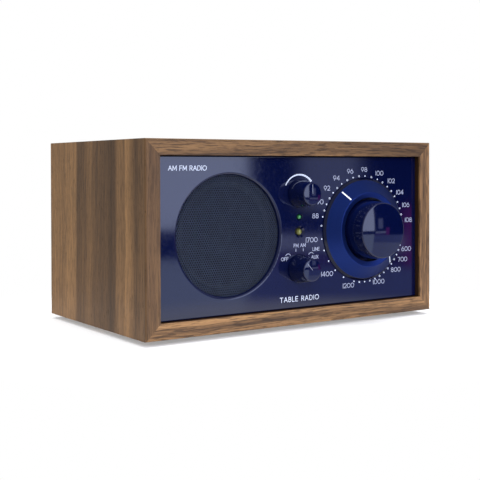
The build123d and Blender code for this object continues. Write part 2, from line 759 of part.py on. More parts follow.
with BuildPart() as amplifier_heat_sink:
    block(3.0, 31.0, 108.5, BOARD_FRONT, 25.0, 47.0)
    fin_count = 6
    for i in range(fin_count):
        fin_left = 3.0 + i * (28.0 - 1.6) / (fin_count - 1)
        block(fin_left, fin_left + 1.6, 96.0, 108.5, 25.0, 47.0)
keep(amplifier_heat_sink, "amplifier_heat_sink")

with BuildPart() as tuner_shield:
    block(40.0, 74.0, 101.0, BOARD_FRONT, 60.0, 92.0)
    fillet(tuner_shield.edges().filter_by(Axis.Y), 1.2)
    block(40.8, 73.2, 101.8, BOARD_FRONT, 60.8, 91.2, Mode.SUBTRACT)
    bars([(48.0, 68.0), (57.0, 76.0), (66.0, 84.0)], 2.0, 101.0, 101.8, Mode.SUBTRACT)
keep(tuner_shield, "tuner_shield")

ROD_DEPTH = 60.0
ROD_Z = 93.5
ROD_RADIUS = 4.5

with BuildPart() as ferrite_rod_antenna:
    with BuildSketch(side_plane(-55.0, ROD_DEPTH, ROD_Z)):
        Circle(ROD_RADIUS)
    extrude(amount=96.0)
    fillet(ferrite_rod_antenna.edges().filter_by(GeomType.CIRCLE), 0.4)
keep(ferrite_rod_antenna, "ferrite_rod_antenna")

with BuildPart() as ferrite_rod_coil:
    with BuildSketch(side_plane(-25.0, ROD_DEPTH, ROD_Z)):
        Circle(6.4)
    extrude(amount=36.0)
    for flange_left in (-28.0, 11.0):
        with BuildSketch(side_plane(flange_left, ROD_DEPTH, ROD_Z)):
            Circle(8.0)
            with Locations((0, (INNER_TOP - ROD_Z) / 2)):
                Rectangle(12.0, INNER_TOP - ROD_Z)
        extrude(amount=3.0)
    with BuildSketch(side_plane(-28.0, ROD_DEPTH, ROD_Z)):
        Circle(ROD_RADIUS + SLIP)
    extrude(amount=42.0, mode=Mode.SUBTRACT)
keep(ferrite_rod_coil, "ferrite_rod_coil")

# ---------------------------------------------------------------- mains transformer
CORE_X = -62.0
CORE_Z = INNER_BOTTOM + 19.0
CORE_NEAR = 82.0
CORE_FAR = 102.0
LEG = 15.0
WINDOW_WIDTH = 8.0
WINDOW_HEIGHT = 24.0

with BuildPart() as transformer_core:
    with BuildSketch(front_plane(CORE_NEAR, CORE_X, CORE_Z)):
        Rectangle(2 * LEG + 2 * WINDOW_WIDTH, 38.0)
        window_offset = (LEG + WINDOW_WIDTH) / 2
        with Locations((-window_offset, 0), (window_offset, 0)):
            Rectangle(WINDOW_WIDTH, WINDOW_HEIGHT, mode=Mode.SUBTRACT)
    extrude(amount=CORE_NEAR - CORE_FAR)
keep(transformer_core, "transformer_core")

with BuildPart() as transformer_winding:
    wound = WINDOW_WIDTH - 0.4
    low, high = CORE_Z - WINDOW_HEIGHT / 2 + 0.2, CORE_Z + WINDOW_HEIGHT / 2 - 0.2
    block(CORE_X - LEG / 2 - wound, CORE_X + LEG / 2 + wound, CORE_NEAR - wound, CORE_FAR + wound, low, high)
    fillet(transformer_winding.edges().filter_by(Axis.Z), 4.0)
    leg_half = LEG / 2 + SLIP
    block(CORE_X - leg_half, CORE_X + leg_half, CORE_NEAR - SLIP, CORE_FAR + SLIP, low, high, Mode.SUBTRACT)
keep(transformer_winding, "transformer_winding")

# ---------------------------------------------------------------- rear panel and its connectors
INLET = (-66.0, 32.0)
ANTENNA = (60.0, 84.0)
SWITCH = (36.0, 84.0)
JACKS = [(30.0, 40.0), (48.0, 40.0), (66.0, 40.0)]
POWER_JACK = (6.0, 40.0)
INLET_BODY = (24.0, 17.0)
SWITCH_SLOT = (10.0, 4.6)
JACK_BARREL = 3.9
POWER_BARREL = 5.0
ANTENNA_NECK = 5.4

with BuildPart() as rear_panel:
    with BuildSketch(front_plane(REAR_PANEL_DEPTH, 0, MIDDLE_Z)):
        RectangleRounded(PANEL_WIDTH, PANEL_HEIGHT, 1.0)
    extrude(amount=REAR_PANEL_DEPTH - REAR_PANEL_BACK)
    with BuildSketch(front_plane(REAR_PANEL_DEPTH)):
        with Locations(*CORNER_SCREWS):
            Circle(PANEL_SCREW + SLIP)
        with Locations(INLET):
            Rectangle(INLET_BODY[0] + 2 * SLIP, INLET_BODY[1] + 2 * SLIP)
        with Locations(ANTENNA):
            Circle(ANTENNA_NECK + SLIP)
        with Locations(SWITCH):
            Rectangle(*SWITCH_SLOT)
        with Locations(*JACKS):
            Circle(JACK_BARREL + SLIP)
        with Locations(POWER_JACK):
            Circle(POWER_BARREL + SLIP)
    extrude(amount=REAR_PANEL_DEPTH - REAR_PANEL_BACK, mode=Mode.SUBTRACT)
keep(rear_panel, "rear_panel")

with BuildPart() as rear_panel_screws:
    screws(CORNER_SCREWS, 117.0, REAR_PANEL_BACK, PANEL_SCREW, 2.8, 1.9)
keep(rear_panel_screws, "rear_panel_screws")

with BuildPart() as mains_inlet:
    with BuildSketch(front_plane(114.0, *INLET)):
        Rectangle(*INLET_BODY)
    extrude(amount=114.0 - REAR_PANEL_BACK)
    with BuildSketch(front_plane(REAR_PANEL_BACK, *INLET)):
        RectangleRounded(29.0, 20.0, 3.0)
    extrude(amount=-2.0)
    with BuildSketch(front_plane(118.0, *INLET)):
        SlotOverall(16.2, 9.4)
    extrude(amount=118.0 - REAR_PANEL_BACK - 2.0, mode=Mode.SUBTRACT)
    bars([(INLET[0] + side * 4.3, INLET[1]) for side in (-1, 1)], 1.2, 118.0, 128.0)
keep(mains_inlet, "mains_inlet")

with BuildPart() as antenna_connector:
    turned(
        [
            (0, BOARD_BACK),
            (6.8, BOARD_BACK),
            (6.8, REAR_PANEL_DEPTH),
            (ANTENNA_NECK, REAR_PANEL_DEPTH),
            (ANTENNA_NECK, REAR_PANEL_BACK),
            (4.76, REAR_PANEL_BACK),
            (4.76, 133.0),
            (3.4, 133.0),
            (3.4, 132.2),
            (0.7, 132.2),
            (0.7, 122.0),
            (0, 122.0),
        ],
        ANTENNA,
    )
keep(antenna_connector, "antenna_connector")

with BuildPart() as antenna_switch_frame:
    x, z = SWITCH
    block(x - 9.0, x + 9.0, BOARD_BACK, REAR_PANEL_DEPTH, z - 4.5, z + 4.5)
    block(x - 5.0, x + 5.0, 119.0, REAR_PANEL_DEPTH, z - 2.3, z + 2.3, Mode.SUBTRACT)
keep(antenna_switch_frame, "antenna_switch_frame")

with BuildPart() as antenna_switch_slider:
    x, z = SWITCH
    block(x - 4.7, x + 0.7, 119.4, 130.6, z - 2.0, z + 2.0)
    with BuildSketch(front_plane(130.6)):
        with Locations(*[(x - 4.7 + 1.35 * i, z) for i in range(1, 4)]):
            Rectangle(0.5, 4.0)
    extrude(amount=0.5, mode=Mode.SUBTRACT)
keep(antenna_switch_slider, "antenna_switch_slider")

JACK_BACK = 129.6
with BuildPart() as audio_jacks:
    for x, z in JACKS:
        block(x - 6.0, x + 6.0, BOARD_BACK, REAR_PANEL_DEPTH, z - 5.5, z + 5.5)
    bars(JACKS, JACK_BARREL, REAR_PANEL_DEPTH, JACK_BACK)
    bars(JACKS, 1.8, 115.6, JACK_BACK, Mode.SUBTRACT)
keep(audio_jacks, "audio_jacks")

with BuildPart() as power_jack:
    x, z = POWER_JACK
    block(x - 7.0, x + 7.0, BOARD_BACK, REAR_PANEL_DEPTH, z - 5.5, z + 5.5)
    bars([POWER_JACK], POWER_BARREL, REAR_PANEL_DEPTH, 129.2)
    bars([POWER_JACK], 2.75, 118.0, 129.2, Mode.SUBTRACT)
    bars([POWER_JACK], 1.0, 118.0, 127.6)
keep(power_jack, "power_jack")

# ---------------------------------------------------------------- files
os.makedirs("parts", exist_ok=True)
for piece in pieces:
    export_step(piece.part, f"parts/{piece.part.label}.step")
print(len(pieces), "pieces written")
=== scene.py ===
import logging
import math
from dataclasses import dataclass, field
from enum import Enum
from typing import Any, Optional, Sequence, Union

import bmesh
import bpy
import numpy as np
from mathutils import Matrix, Vector


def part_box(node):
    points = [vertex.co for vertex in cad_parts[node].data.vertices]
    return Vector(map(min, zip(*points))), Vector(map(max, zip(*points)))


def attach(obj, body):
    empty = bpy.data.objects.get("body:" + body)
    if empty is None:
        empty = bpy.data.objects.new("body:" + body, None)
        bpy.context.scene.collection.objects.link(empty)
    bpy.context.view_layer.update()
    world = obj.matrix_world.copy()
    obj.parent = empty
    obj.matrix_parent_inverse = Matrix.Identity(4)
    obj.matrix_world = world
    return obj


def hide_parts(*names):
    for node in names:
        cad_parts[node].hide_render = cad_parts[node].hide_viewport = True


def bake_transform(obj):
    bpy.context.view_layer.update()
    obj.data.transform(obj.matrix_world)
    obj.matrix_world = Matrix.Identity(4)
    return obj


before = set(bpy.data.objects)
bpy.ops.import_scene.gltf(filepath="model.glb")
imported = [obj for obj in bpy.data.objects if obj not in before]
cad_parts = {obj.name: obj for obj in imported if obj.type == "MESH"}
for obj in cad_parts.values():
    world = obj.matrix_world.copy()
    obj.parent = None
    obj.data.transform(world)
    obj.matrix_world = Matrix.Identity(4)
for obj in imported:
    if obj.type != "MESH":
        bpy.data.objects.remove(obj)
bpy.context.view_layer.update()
MM = 0.001
log = logging.getLogger("radio")

Number = Union[int, float]
Colour = tuple[float, float, float]
Place = tuple[float, float]


# ------------------------------------------------------------------ shader graphs
class Field:
    """A node's output that takes part in arithmetic: each operator adds one Math node."""

    def __init__(self, graph: "Graph", socket: bpy.types.NodeSocket) -> None:
        """Keep the socket and the graph it belongs to."""
        self.graph = graph
        self.socket = socket

    def math(self, operation: str, *others: "Operand") -> "Field":
        """Add a Math node.

        Args:
            operation: Blender's name for the operation.
            others: the operands after this one.

        Returns:
            The node's value.
        """
        sockets = dict(enumerate((self, *others)))
        return self.graph.add("ShaderNodeMath", {"operation": operation}, sockets)

    def __add__(self, other: "Operand") -> "Field":
        """This plus other."""
        return self.math("ADD", other)

    __radd__ = __add__

    def __sub__(self, other: "Operand") -> "Field":
        """This minus other."""
        return self.math("SUBTRACT", other)

    def __rsub__(self, other: Number) -> "Field":
        """Other minus this."""
        return self.graph.add("ShaderNodeMath", {"operation": "SUBTRACT"}, {0: float(other), 1: self})

    def __mul__(self, other: "Operand") -> "Field":
        """This times other."""
        return self.math("MULTIPLY", other)

    __rmul__ = __mul__

    def __truediv__(self, other: "Operand") -> "Field":
        """This divided by other."""
        return self.math("DIVIDE", other)

    def __pow__(self, other: "Operand") -> "Field":
        """This raised to other."""
        return self.math("POWER", other)

    def __abs__(self) -> "Field":
        """The value without its sign."""
        return self.math("ABSOLUTE")

    def ramp(self, low: Number, high: Number, start: Number = 0.0, end: Number = 1.0) -> "Field":
        """Go smoothly from start to end as this goes from low to high, and stay level outside.

        Returns:
            The mapped value.
        """
        settings = {"interpolation_type": "SMOOTHSTEP"}
        sockets = {"Value": self, "From Min": low, "From Max": high, "To Min": start, "To Max": end}
        return self.graph.add("ShaderNodeMapRange", settings, sockets)

    def blend(self, first: Union["Field", Colour], second: Union["Field", Colour]) -> "Field":
        """Mix two colours: first where this is 0, second where it is 1.

        Returns:
            The mixed colour.
        """
        settings = {"data_type": "RGBA"}
        return self.graph.add("ShaderNodeMix", settings, {0: self, 6: first, 7: second}, out=2)


Operand = Union[Field, float, int]


class Graph:
    """The node tree of one material or world, with one method that adds any node."""

    def __init__(self, tree: bpy.types.NodeTree) -> None:
        """Start from an empty tree."""
        tree.nodes.clear()
        self.tree = tree

    def add(
        self,
        kind: str,
        settings: Optional[dict[str, Any]] = None,
        sockets: Optional[dict[Union[str, int], Any]] = None,
        out: Union[int, str] = 0,
    ) -> Field:
        """Add a node, apply its settings, then fill its sockets.

        Args:
            kind: the node's type.
            settings: properties, and "stops" for a colour ramp as (place, colour) pairs.
            sockets: values or fields, by the socket's name or number.
            out: which output to return.

        Returns:
            The chosen output.
        """
        node = self.tree.nodes.new(kind)
        for key, value in (settings or {}).items():
            if key == "stops":
                self._fill_ramp(node, value)
            else:
                setattr(node, key, value)
        for key, value in (sockets or {}).items():
            socket = node.inputs[key]
            if isinstance(value, Field):
                self.tree.links.new(value.socket, socket)
            elif isinstance(value, tuple) and socket.type == "RGBA":
                socket.default_value = (*value, 1.0)
            else:
                socket.default_value = value
        return Field(self, node.outputs[out] if len(node.outputs) else None)

    @staticmethod
    def _fill_ramp(node: bpy.types.Node, stops: Sequence[tuple[float, Colour]]) -> None:
        """Give a colour ramp its stops."""
        elements = node.color_ramp.elements
        while len(elements) > 1:
            elements.remove(elements[-1])
        elements[0].position, elements[0].color = stops[0][0], (*stops[0][1], 1.0)
        for place, colour in stops[1:]:
            elements.new(place).color = (*colour, 1.0)

    def position(self) -> tuple[Field, Field, Field]:
        """The point on the object, in metres.

        Returns:
            X, Y and Z as three fields.
        """
        return self.parts(self.add("ShaderNodeTexCoord", out="Object"))

    def parts(self, vector: Field) -> tuple[Field, Field, Field]:
        """The X, Y and Z of a vector."""
        split = self.add("ShaderNodeSeparateXYZ", sockets={0: vector})
        return tuple(Field(self, split.socket.node.outputs[axis]) for axis in "XYZ")

    def vector(self, x: Operand, y: Operand, z: Operand) -> Field:
        """A vector from three numbers or fields."""
        return self.add("ShaderNodeCombineXYZ", sockets={0: x, 1: y, 2: z})

    def noise(self, at: Field, scale: float = 1.0, detail: float = 2.0, rough: float = 0.5) -> Field:
        """Noise between 0 and 1 at a point.

        Args:
            at: the point, already stretched.
            scale: cycles for each unit.
            detail: octaves.
            rough: how strong the fine octaves are.

        Returns:
            The noise's value.
        """
        sockets = {"Vector": at, "Scale": scale, "Detail": detail, "Roughness": rough}
        return self.add("ShaderNodeTexNoise", {"noise_dimensions": "3D"}, sockets)

    def bump(self, height: Field, depth: float, strength: float = 1.0) -> Field:
        """A normal that follows a height between 0 and 1, depth metres tall."""
        return self.add("ShaderNodeBump", sockets={"Height": height, "Distance": depth, "Strength": strength})


def start_material(name: str) -> tuple[bpy.types.Material, Graph]:
    """Make an empty node material.

    Returns:
        The material and its graph.
    """
    material = bpy.data.materials.new(name)
    material.use_nodes = True
    return material, Graph(material.node_tree)


def close_material(graph: Graph, **sockets: Any) -> None:
    """Add the surface shader and the output.

    Args:
        graph: the material's graph.
        sockets: the shader's sockets, with underscores for the spaces in their names.
    """
    named = {key.replace("_", " "): value for key, value in sockets.items()}
    shader = graph.add("ShaderNodeBsdfPrincipled", sockets=named)
    graph.add("ShaderNodeOutputMaterial", sockets={"Surface": shader})


def shade(colour: Colour, brightness: float) -> Colour:
    """A colour made brighter or darker, with no part of it over 1."""
    return tuple(min(1.0, part * brightness) for part in colour)


def distance(across: Field, up: Field) -> Field:
    """The square root of across squared plus up squared."""
    return (across * across + up * up) ** 0.5


# ------------------------------------------------------------------ finishes
class Grain(Enum):
    """The way that a board's grain runs."""

    ALONG_X = 0
    ALONG_Z = 2


@dataclass(frozen=True)
class Layer:
    """One noise in the wood: cycles for each metre along and across the grain, a seed, octaves and their strength."""

    along: float
    across: float
    seed: float = 0.0
    detail: float = 2.0
    rough: float = 0.5

    def noise(self, g: Graph, along: Field, across: Field, seed: float) -> Field:
        """The layer's value, between 0 and 1, on a board that has a seed of its own."""
        at = g.vector(along * self.along, across * self.across, seed + self.seed)
        return g.noise(at, 1.0, self.detail, self.rough)


WAVER = Layer(7.0, 9.0)
BROAD = Layer(2.2, 62.0, 3.1, 2.0, 0.55)
STREAK = Layer(8.0, 380.0, 7.7, 3.0, 0.6)
FIBRE = Layer(60.0, 2300.0, 0.0, 2.0, 0.6)
FLECK = Layer(95.0, 980.0, 5.3)
PORES = Layer(240.0, 4200.0, 1.0, 1.0, 0.4)


@dataclass(frozen=True)
class Walnut:
    """Oiled walnut veneer: broad bands, fine streaks and short dark pores, all drawn out along the grain."""

    name: str
    grain: Grain
    seed: float
    bands: tuple[tuple[float, float], ...] = ()
    # Scales the wood's colours for the whole board: painted light and shade for how light falls on it.
    tint: float = 1.0
    flecks: float = 0.66
    dark: Colour = (0.030, 0.016, 0.008)
    middle: Colour = (0.118, 0.062, 0.026)
    light: Colour = (0.300, 0.160, 0.064)
    # Painted shade: the dark colour laid on the opening's lips, in the recess where shade falls.
    stain: Colour = (0.030, 0.013, 0.005)
    stain_depth: tuple[float, float] = (0.0009, 0.0016)
    stain_reach: tuple[float, float] = (0.0004, 0.0008)

    def leaf(self, g: Graph, y: Field, waver: Field) -> Field:
        """The board's own bands: a ramp from its front to its back, made a little crooked."""
        low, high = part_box("cabinet_left_side")
        place = (y - low.y) / (high.y - low.y) + (waver - 0.5) * 0.07
        stops = [(at, (value, value, value)) for at, value in self.bands]
        return g.parts(g.add("ShaderNodeValToRGB", {"stops": stops}, {0: place}))[0]

    def lip(self, x: Field, y: Field, z: Field) -> Field:
        """Painted shade's mask: 1 on the opening's lips, which lie behind the front edge and no farther out than the
        panel, else 0.
        """
        low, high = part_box("front_panel")
        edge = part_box("cabinet_left_side")[0].y
        near, far = self.stain_reach
        inside = (abs(x) - high.x).ramp(near, far, 1.0, 0.0) * (z - high.z).ramp(near, far, 1.0, 0.0)
        return inside * (z - low.z).ramp(-far, -near) * (y - edge).ramp(*self.stain_depth)

    def material(self) -> bpy.types.Material:
        """Build the material.

        The tone is a sum of noises in (along, across), with along shrunk so that each one is drawn out; a leaf
        with its own bands adds a ramp across the board. The lips of the opening are painted dark, as painted shade in
        the recess behind the front edge.
        """
        made, g = start_material(self.name)
        x, y, z = g.position()
        along, side = (x, z) if self.grain is Grain.ALONG_X else (z, x)
        across = y + side * 1.35 + self.seed
        waver = WAVER.noise(g, along, across, self.seed)
        across = across + (waver - 0.5) * 0.016
        layers = (BROAD, STREAK, FIBRE, FLECK, PORES)
        broad, streak, fibre, fleck, pores = (layer.noise(g, along, across, self.seed) for layer in layers)
        tone = (broad - 0.5) * 1.1 + (streak - 0.5) * 1.15 + (fibre - 0.5) * 0.45 + 0.54
        if self.bands:
            tone = tone * 0.45 + self.leaf(g, y, waver) * 0.62 - 0.03
        pore = pores.ramp(0.63, 0.74)
        shades = ((0.12, self.dark), (0.47, self.middle), (0.85, self.light))
        # Each board's colours are scaled by its own level, which is painted light and shade.
        wood = g.add("ShaderNodeValToRGB", {"stops": [(at, shade(tint, self.tint)) for at, tint in shades]}, {0: tone})
        flecked = (fleck.ramp(0.50, 0.62) * self.flecks).blend(wood, self.dark)
        grained = (pore * 0.7).blend(flecked, shade(self.dark, 0.6))
        height = fibre * 0.5 + (1 - pore) * 0.6
        # The lips get the painted shade colour.
        close_material(g, Base_Color=self.lip(x, y, z).blend(grained, self.stain),
                       Roughness=0.44 + streak * 0.14 + pore * 0.20, Normal=g.bump(height, 0.00006, 0.5),
                       Specular_IOR_Level=0.28)
        return made


@dataclass(frozen=True)
class Gloss:
    """Polished lacquer or moulded gloss plastic: a deep colour, slight waviness and a few dull handling marks."""

    name: str
    colour: Colour
    roughness: float = 0.05
    wave: float = 0.0000012

    def material(self) -> bpy.types.Material:
        """Build the material: slow noise waves the surface, and fine noise varies its roughness a little."""
        made, g = start_material(self.name)
        x, y, z = g.position()
        here = g.vector(x, y, z)
        slow = g.noise(here, 90.0, 1.0)
        haze = g.noise(here, 420.0, 3.0, 0.6)
        dust = g.noise(here, 5200.0, 1.0).ramp(0.74, 0.80)
        colour = (dust * 0.12).blend(self.colour, (0.25, 0.27, 0.32))
        rough = self.roughness + haze.ramp(0.45, 0.75) * 0.03 + dust * 0.2
        close_material(g, Base_Color=colour, Roughness=rough, Normal=g.bump(slow, self.wave, 1.0),
                       Specular_IOR_Level=0.5)
        return made


@dataclass(frozen=True)
class SatinDial:
    """Satin blue lacquer over a turned ring: fine marks run round its middle, and its two rims, at the outer edge and
    in the bore, are gloss and painted near-black as shade.
    """

    name: str
    centre: Place
    satin: tuple[float, float]
    colour: Colour = (0.0065, 0.0195, 0.115)
    # Painted shade: the near-black of the outer rim and of the bore's wall.
    rim_colour: Colour = (0.0008, 0.0020, 0.0150)
    roughness: float = 0.36
    rim_roughness: float = 0.08

    def material(self) -> bpy.types.Material:
        """Build the material.

        Noise that depends on the distance from the middle gives the turning marks. The satin lies between two
        radii, and outside them the gloss rims begin within a tenth of a millimetre; their near-black colour is painted
        shade.
        """
        made, g = start_material(self.name)
        x, y, z = g.position()
        radius = distance(x - self.centre[0], z - self.centre[1])
        low, high = self.satin
        satin = radius.ramp(low, low + 0.0001) * radius.ramp(high, high + 0.0001, 1.0, 0.0)
        rings = g.noise(g.vector(radius * 5200.0, y * 2600.0, 0.0), 1.0, 2.0)
        flake = g.noise(g.vector(x, y, z), 9000.0, 1.0).ramp(0.35, 0.7)
        # Outside the satin the colour is the painted rim shade.
        colour = satin.blend(self.rim_colour, flake.blend(shade(self.colour, 0.85), shade(self.colour, 1.2)))
        rough = self.rim_roughness + satin * (self.roughness - self.rim_roughness + rings * 0.08)
        close_material(g, Base_Color=colour, Metallic=satin * 0.8, Roughness=rough,
                       Normal=g.bump(rings, 0.000003, 0.5), Specular_IOR_Level=0.32)
        return made


@dataclass(frozen=True)
class Metal:
    """Bare or plated metal with fine scratches along one way and slight tarnish."""

    name: str
    colour: Colour
    roughness: float = 0.3
    metallic: float = 1.0
    stretch: tuple[float, float, float] = (900.0, 60.0, 900.0)

    def material(self) -> bpy.types.Material:
        """Build the material: noise drawn out along the stretch's smallest number gives the scratches."""
        made, g = start_material(self.name)
        x, y, z = g.position()
        sx, sy, sz = self.stretch
        scratch = g.noise(g.vector(x * sx, y * sy, z * sz), 3.0, 3.0, 0.6)
        stain = g.noise(g.vector(x, y, z), 160.0, 2.0)
        colour = stain.ramp(0.35, 0.7).blend(self.colour, shade(self.colour, 0.82))
        rough = self.roughness + scratch * 0.16
        close_material(g, Base_Color=colour, Metallic=self.metallic, Roughness=rough,
                       Normal=g.bump(scratch, 0.000005, 0.5))
        return made


@dataclass(frozen=True)
class Moulding:
    """Moulded plastic, rubber, paper or cloth: a fine texture in height, tone and roughness."""

    name: str
    colour: Colour
    roughness: float = 0.5
    texture: float = 3000.0
    depth: float = 0.00002
    mottle: float = 0.12

    def material(self) -> bpy.types.Material:
        """Build the material: cells of noise give the texture, and slow noise the tone."""
        made, g = start_material(self.name)
        x, y, z = g.position()
        here = g.vector(x, y, z)
        fine = g.noise(here, self.texture, 2.0, 0.6)
        slow = g.noise(here, 120.0, 2.0)
        dark, light = (shade(self.colour, 1 + way * self.mottle) for way in (-1, 1))
        colour = (slow * 0.6 + fine * 0.4).ramp(0.3, 0.7).blend(dark, light)
        rough = self.roughness + (fine - 0.5) * 0.18
        close_material(g, Base_Color=colour, Roughness=rough, Normal=g.bump(fine, self.depth, 0.7))
        return made


@dataclass(frozen=True)
class Weave:
    """Woven or spun cloth: two crossed sets of threads."""

    name: str
    colour: Colour
    pitch: float = 0.0006

    def material(self) -> bpy.types.Material:
        """Build the material: the product of two sine waves across X and Z raises the threads, and darkens the colour
        in the hollows between them as painted shade.
        """
        made, g = start_material(self.name)
        x, _, z = g.position()
        turns = 2 * math.pi / self.pitch
        threads = (x * turns).math("SINE") * (z * turns).math("SINE")
        height = threads * 0.5 + 0.5
        # Painted shade: the colour falls to six tenths of itself in the hollows between the threads.
        colour = height.blend(shade(self.colour, 0.6), self.colour)
        close_material(g, Base_Color=colour, Roughness=0.85, Normal=g.bump(height, 0.00012, 0.8))
        return made


@dataclass(frozen=True)
class CircuitBoard:
    """Green solder resist with copper tracks under it and tinned pads."""

    name: str

    def material(self) -> bpy.types.Material:
        """Build the material: square cells give the tracks, and small round cells the pads."""
        made, g = start_material(self.name)
        x, _, z = g.position()
        flat = g.vector(x, 0.0, z)
        cells = g.add("ShaderNodeTexVoronoi", {"distance": "MANHATTAN", "feature": "F1"},
                      {"Vector": flat, "Scale": 190.0})
        track = abs(cells - 0.55).ramp(0.02, 0.10, 1.0, 0.0)
        dots = g.add("ShaderNodeTexVoronoi", {"feature": "F1"}, {"Vector": flat, "Scale": 300.0})
        pad = dots.ramp(0.16, 0.20, 1.0, 0.0)
        green = track.blend((0.010, 0.075, 0.030), (0.030, 0.150, 0.060))
        colour = pad.blend(green, (0.60, 0.60, 0.58))
        close_material(g, Base_Color=colour, Metallic=pad * 0.9, Roughness=0.32 + track * 0.05,
                       Normal=g.bump(track + pad, 0.00003, 0.7))
        return made


@dataclass(frozen=True)
class Lens:
    """Tinted clear resin over a pale die: brighter where the reflector cup sits behind the dome, with a faint painted
    glow of the die's colour though the light is off.
    """

    name: str
    colour: Colour
    core: Colour
    centre: Place
    radius: float

    def material(self) -> bpy.types.Material:
        """Build the material: the resin's colour turns to the core's colour near the middle of the dome, and a faint
        emission of the core's colour is a painted glow.
        """
        made, g = start_material(self.name)
        x, _, z = g.position()
        away = distance(x - self.centre[0], z - self.centre[1]) / self.radius
        colour = away.ramp(0.15, 0.85, 1.0, 0.0).blend(self.colour, self.core)
        ripple = g.noise(g.vector(x, 0.0, z), 1500.0, 1.0)
        # Emission_Strength 0.02 is a painted glow: the light is off.
        close_material(g, Base_Color=colour, Roughness=0.06 + ripple * 0.05, Coat_Weight=1.0,
                       Emission_Color=self.core, Emission_Strength=0.02, Normal=g.bump(ripple, 0.000002, 0.4))
        return made


# ------------------------------------------------------------------ meshes
# The angles, in degrees, over which an edge stays sharp: on a made mesh, on a CAD mesh, and beside a square-on face.
MADE_CREASE = 35.0
CAD_CREASE = 32.0
FLAT_CREASE = 0.3
SQUARE_ON = 0.99999
MERGE = 1e-7


@dataclass
class Surface:
    """Points and faces of one piece, before it becomes a Blender mesh."""

    points: np.ndarray
    quads: np.ndarray = field(default_factory=lambda: np.zeros((0, 4), int))
    triangles: np.ndarray = field(default_factory=lambda: np.zeros((0, 3), int))

    @staticmethod
    def joined(parts: Sequence["Surface"]) -> "Surface":
        """Put several surfaces in one, each one's face numbers moved past the points before it."""
        starts = np.cumsum([0] + [len(p.points) for p in parts[:-1]])
        return Surface(
            np.concatenate([p.points for p in parts]),
            np.concatenate([p.quads + s for p, s in zip(parts, starts)]),
            np.concatenate([p.triangles + s for p, s in zip(parts, starts)]),
        )

    def copied(self, shifts: np.ndarray) -> "Surface":
        """The same surface once at each of n places, given as (n, 3) shifts."""
        starts = (np.arange(len(shifts)) * len(self.points))[:, None, None]
        return Surface(
            (self.points + shifts[:, None]).reshape(-1, 3),
            (self.quads + starts).reshape(-1, 4),
            (self.triangles + starts).reshape(-1, 3),
        )

    def mesh(self, name: str) -> bpy.types.Mesh:
        """Make the Blender mesh.

        Returns:
            A mesh with merged points, outward normals and smooth faces.
        """
        made = bpy.data.meshes.new(name)
        made.from_pydata(self.points.tolist(), [], self.quads.tolist() + self.triangles.tolist())
        return tidy_mesh(made, MADE_CREASE)


def tidy_mesh(mesh: bpy.types.Mesh, sharp: float, keep_flat: bool = False) -> bpy.types.Mesh:
    """Merge doubled points, turn the faces outwards and shade smooth up to an angle.

    Args:
        mesh: the mesh, which is changed.
        sharp: edges that bend by more than this many degrees stay sharp.
        keep_flat: leave square-on faces truly flat, so that no rounding beside them bends what they mirror.

    Returns:
        The same mesh.
    """
    work = bmesh.new()
    work.from_mesh(mesh)
    bmesh.ops.remove_doubles(work, verts=work.verts, dist=MERGE)
    bmesh.ops.recalc_face_normals(work, faces=work.faces)
    for edge in work.edges:
        bend = math.degrees(edge.calc_face_angle(0.0))
        square_on = keep_flat and any(max(abs(part) for part in face.normal) > SQUARE_ON for face in edge.link_faces)
        edge.smooth = bend < (FLAT_CREASE if square_on else sharp)
    work.to_mesh(mesh)
    work.free()
    mesh.polygons.foreach_set("use_smooth", np.ones(len(mesh.polygons), bool))
    mesh.update()
    return mesh


def hang(mesh: bpy.types.Mesh, finish: bpy.types.Material) -> bpy.types.Object:
    """Put a mesh in the scene as an object of the same name, with one finish."""
    mesh.materials.clear()
    mesh.materials.append(finish)
    made = bpy.data.objects.new(mesh.name, mesh)
    bpy.context.scene.collection.objects.link(made)
    return made


def place_piece(
    mesh: bpy.types.Mesh, body: str, finish: bpy.types.Material, replaces: Sequence[str] = ()
) -> bpy.types.Object:
    """Put a mesh in the scene as a piece of the radio.

    Args:
        mesh: the finished mesh, whose name the piece takes.
        body: the CAD body that it rides on.
        finish: its material.
        replaces: CAD nodes that it stands for.

    Returns:
        The piece.
    """
    piece = hang(mesh, finish)
    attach(piece, body)
    if replaces:
        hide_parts(*replaces)
    log.info("%s on %s: %d faces", mesh.name, body, len(mesh.polygons))
    return piece


def smooth_twin(node: str, name: str, body: str, finish: bpy.types.Material) -> None:
    """Stand a merged, smoothly shaded copy of a CAD node's mesh in its place."""
    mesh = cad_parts[node].data.copy()
    mesh.name = name
    place_piece(tidy_mesh(mesh, CAD_CREASE, keep_flat=True), body, finish, [node])


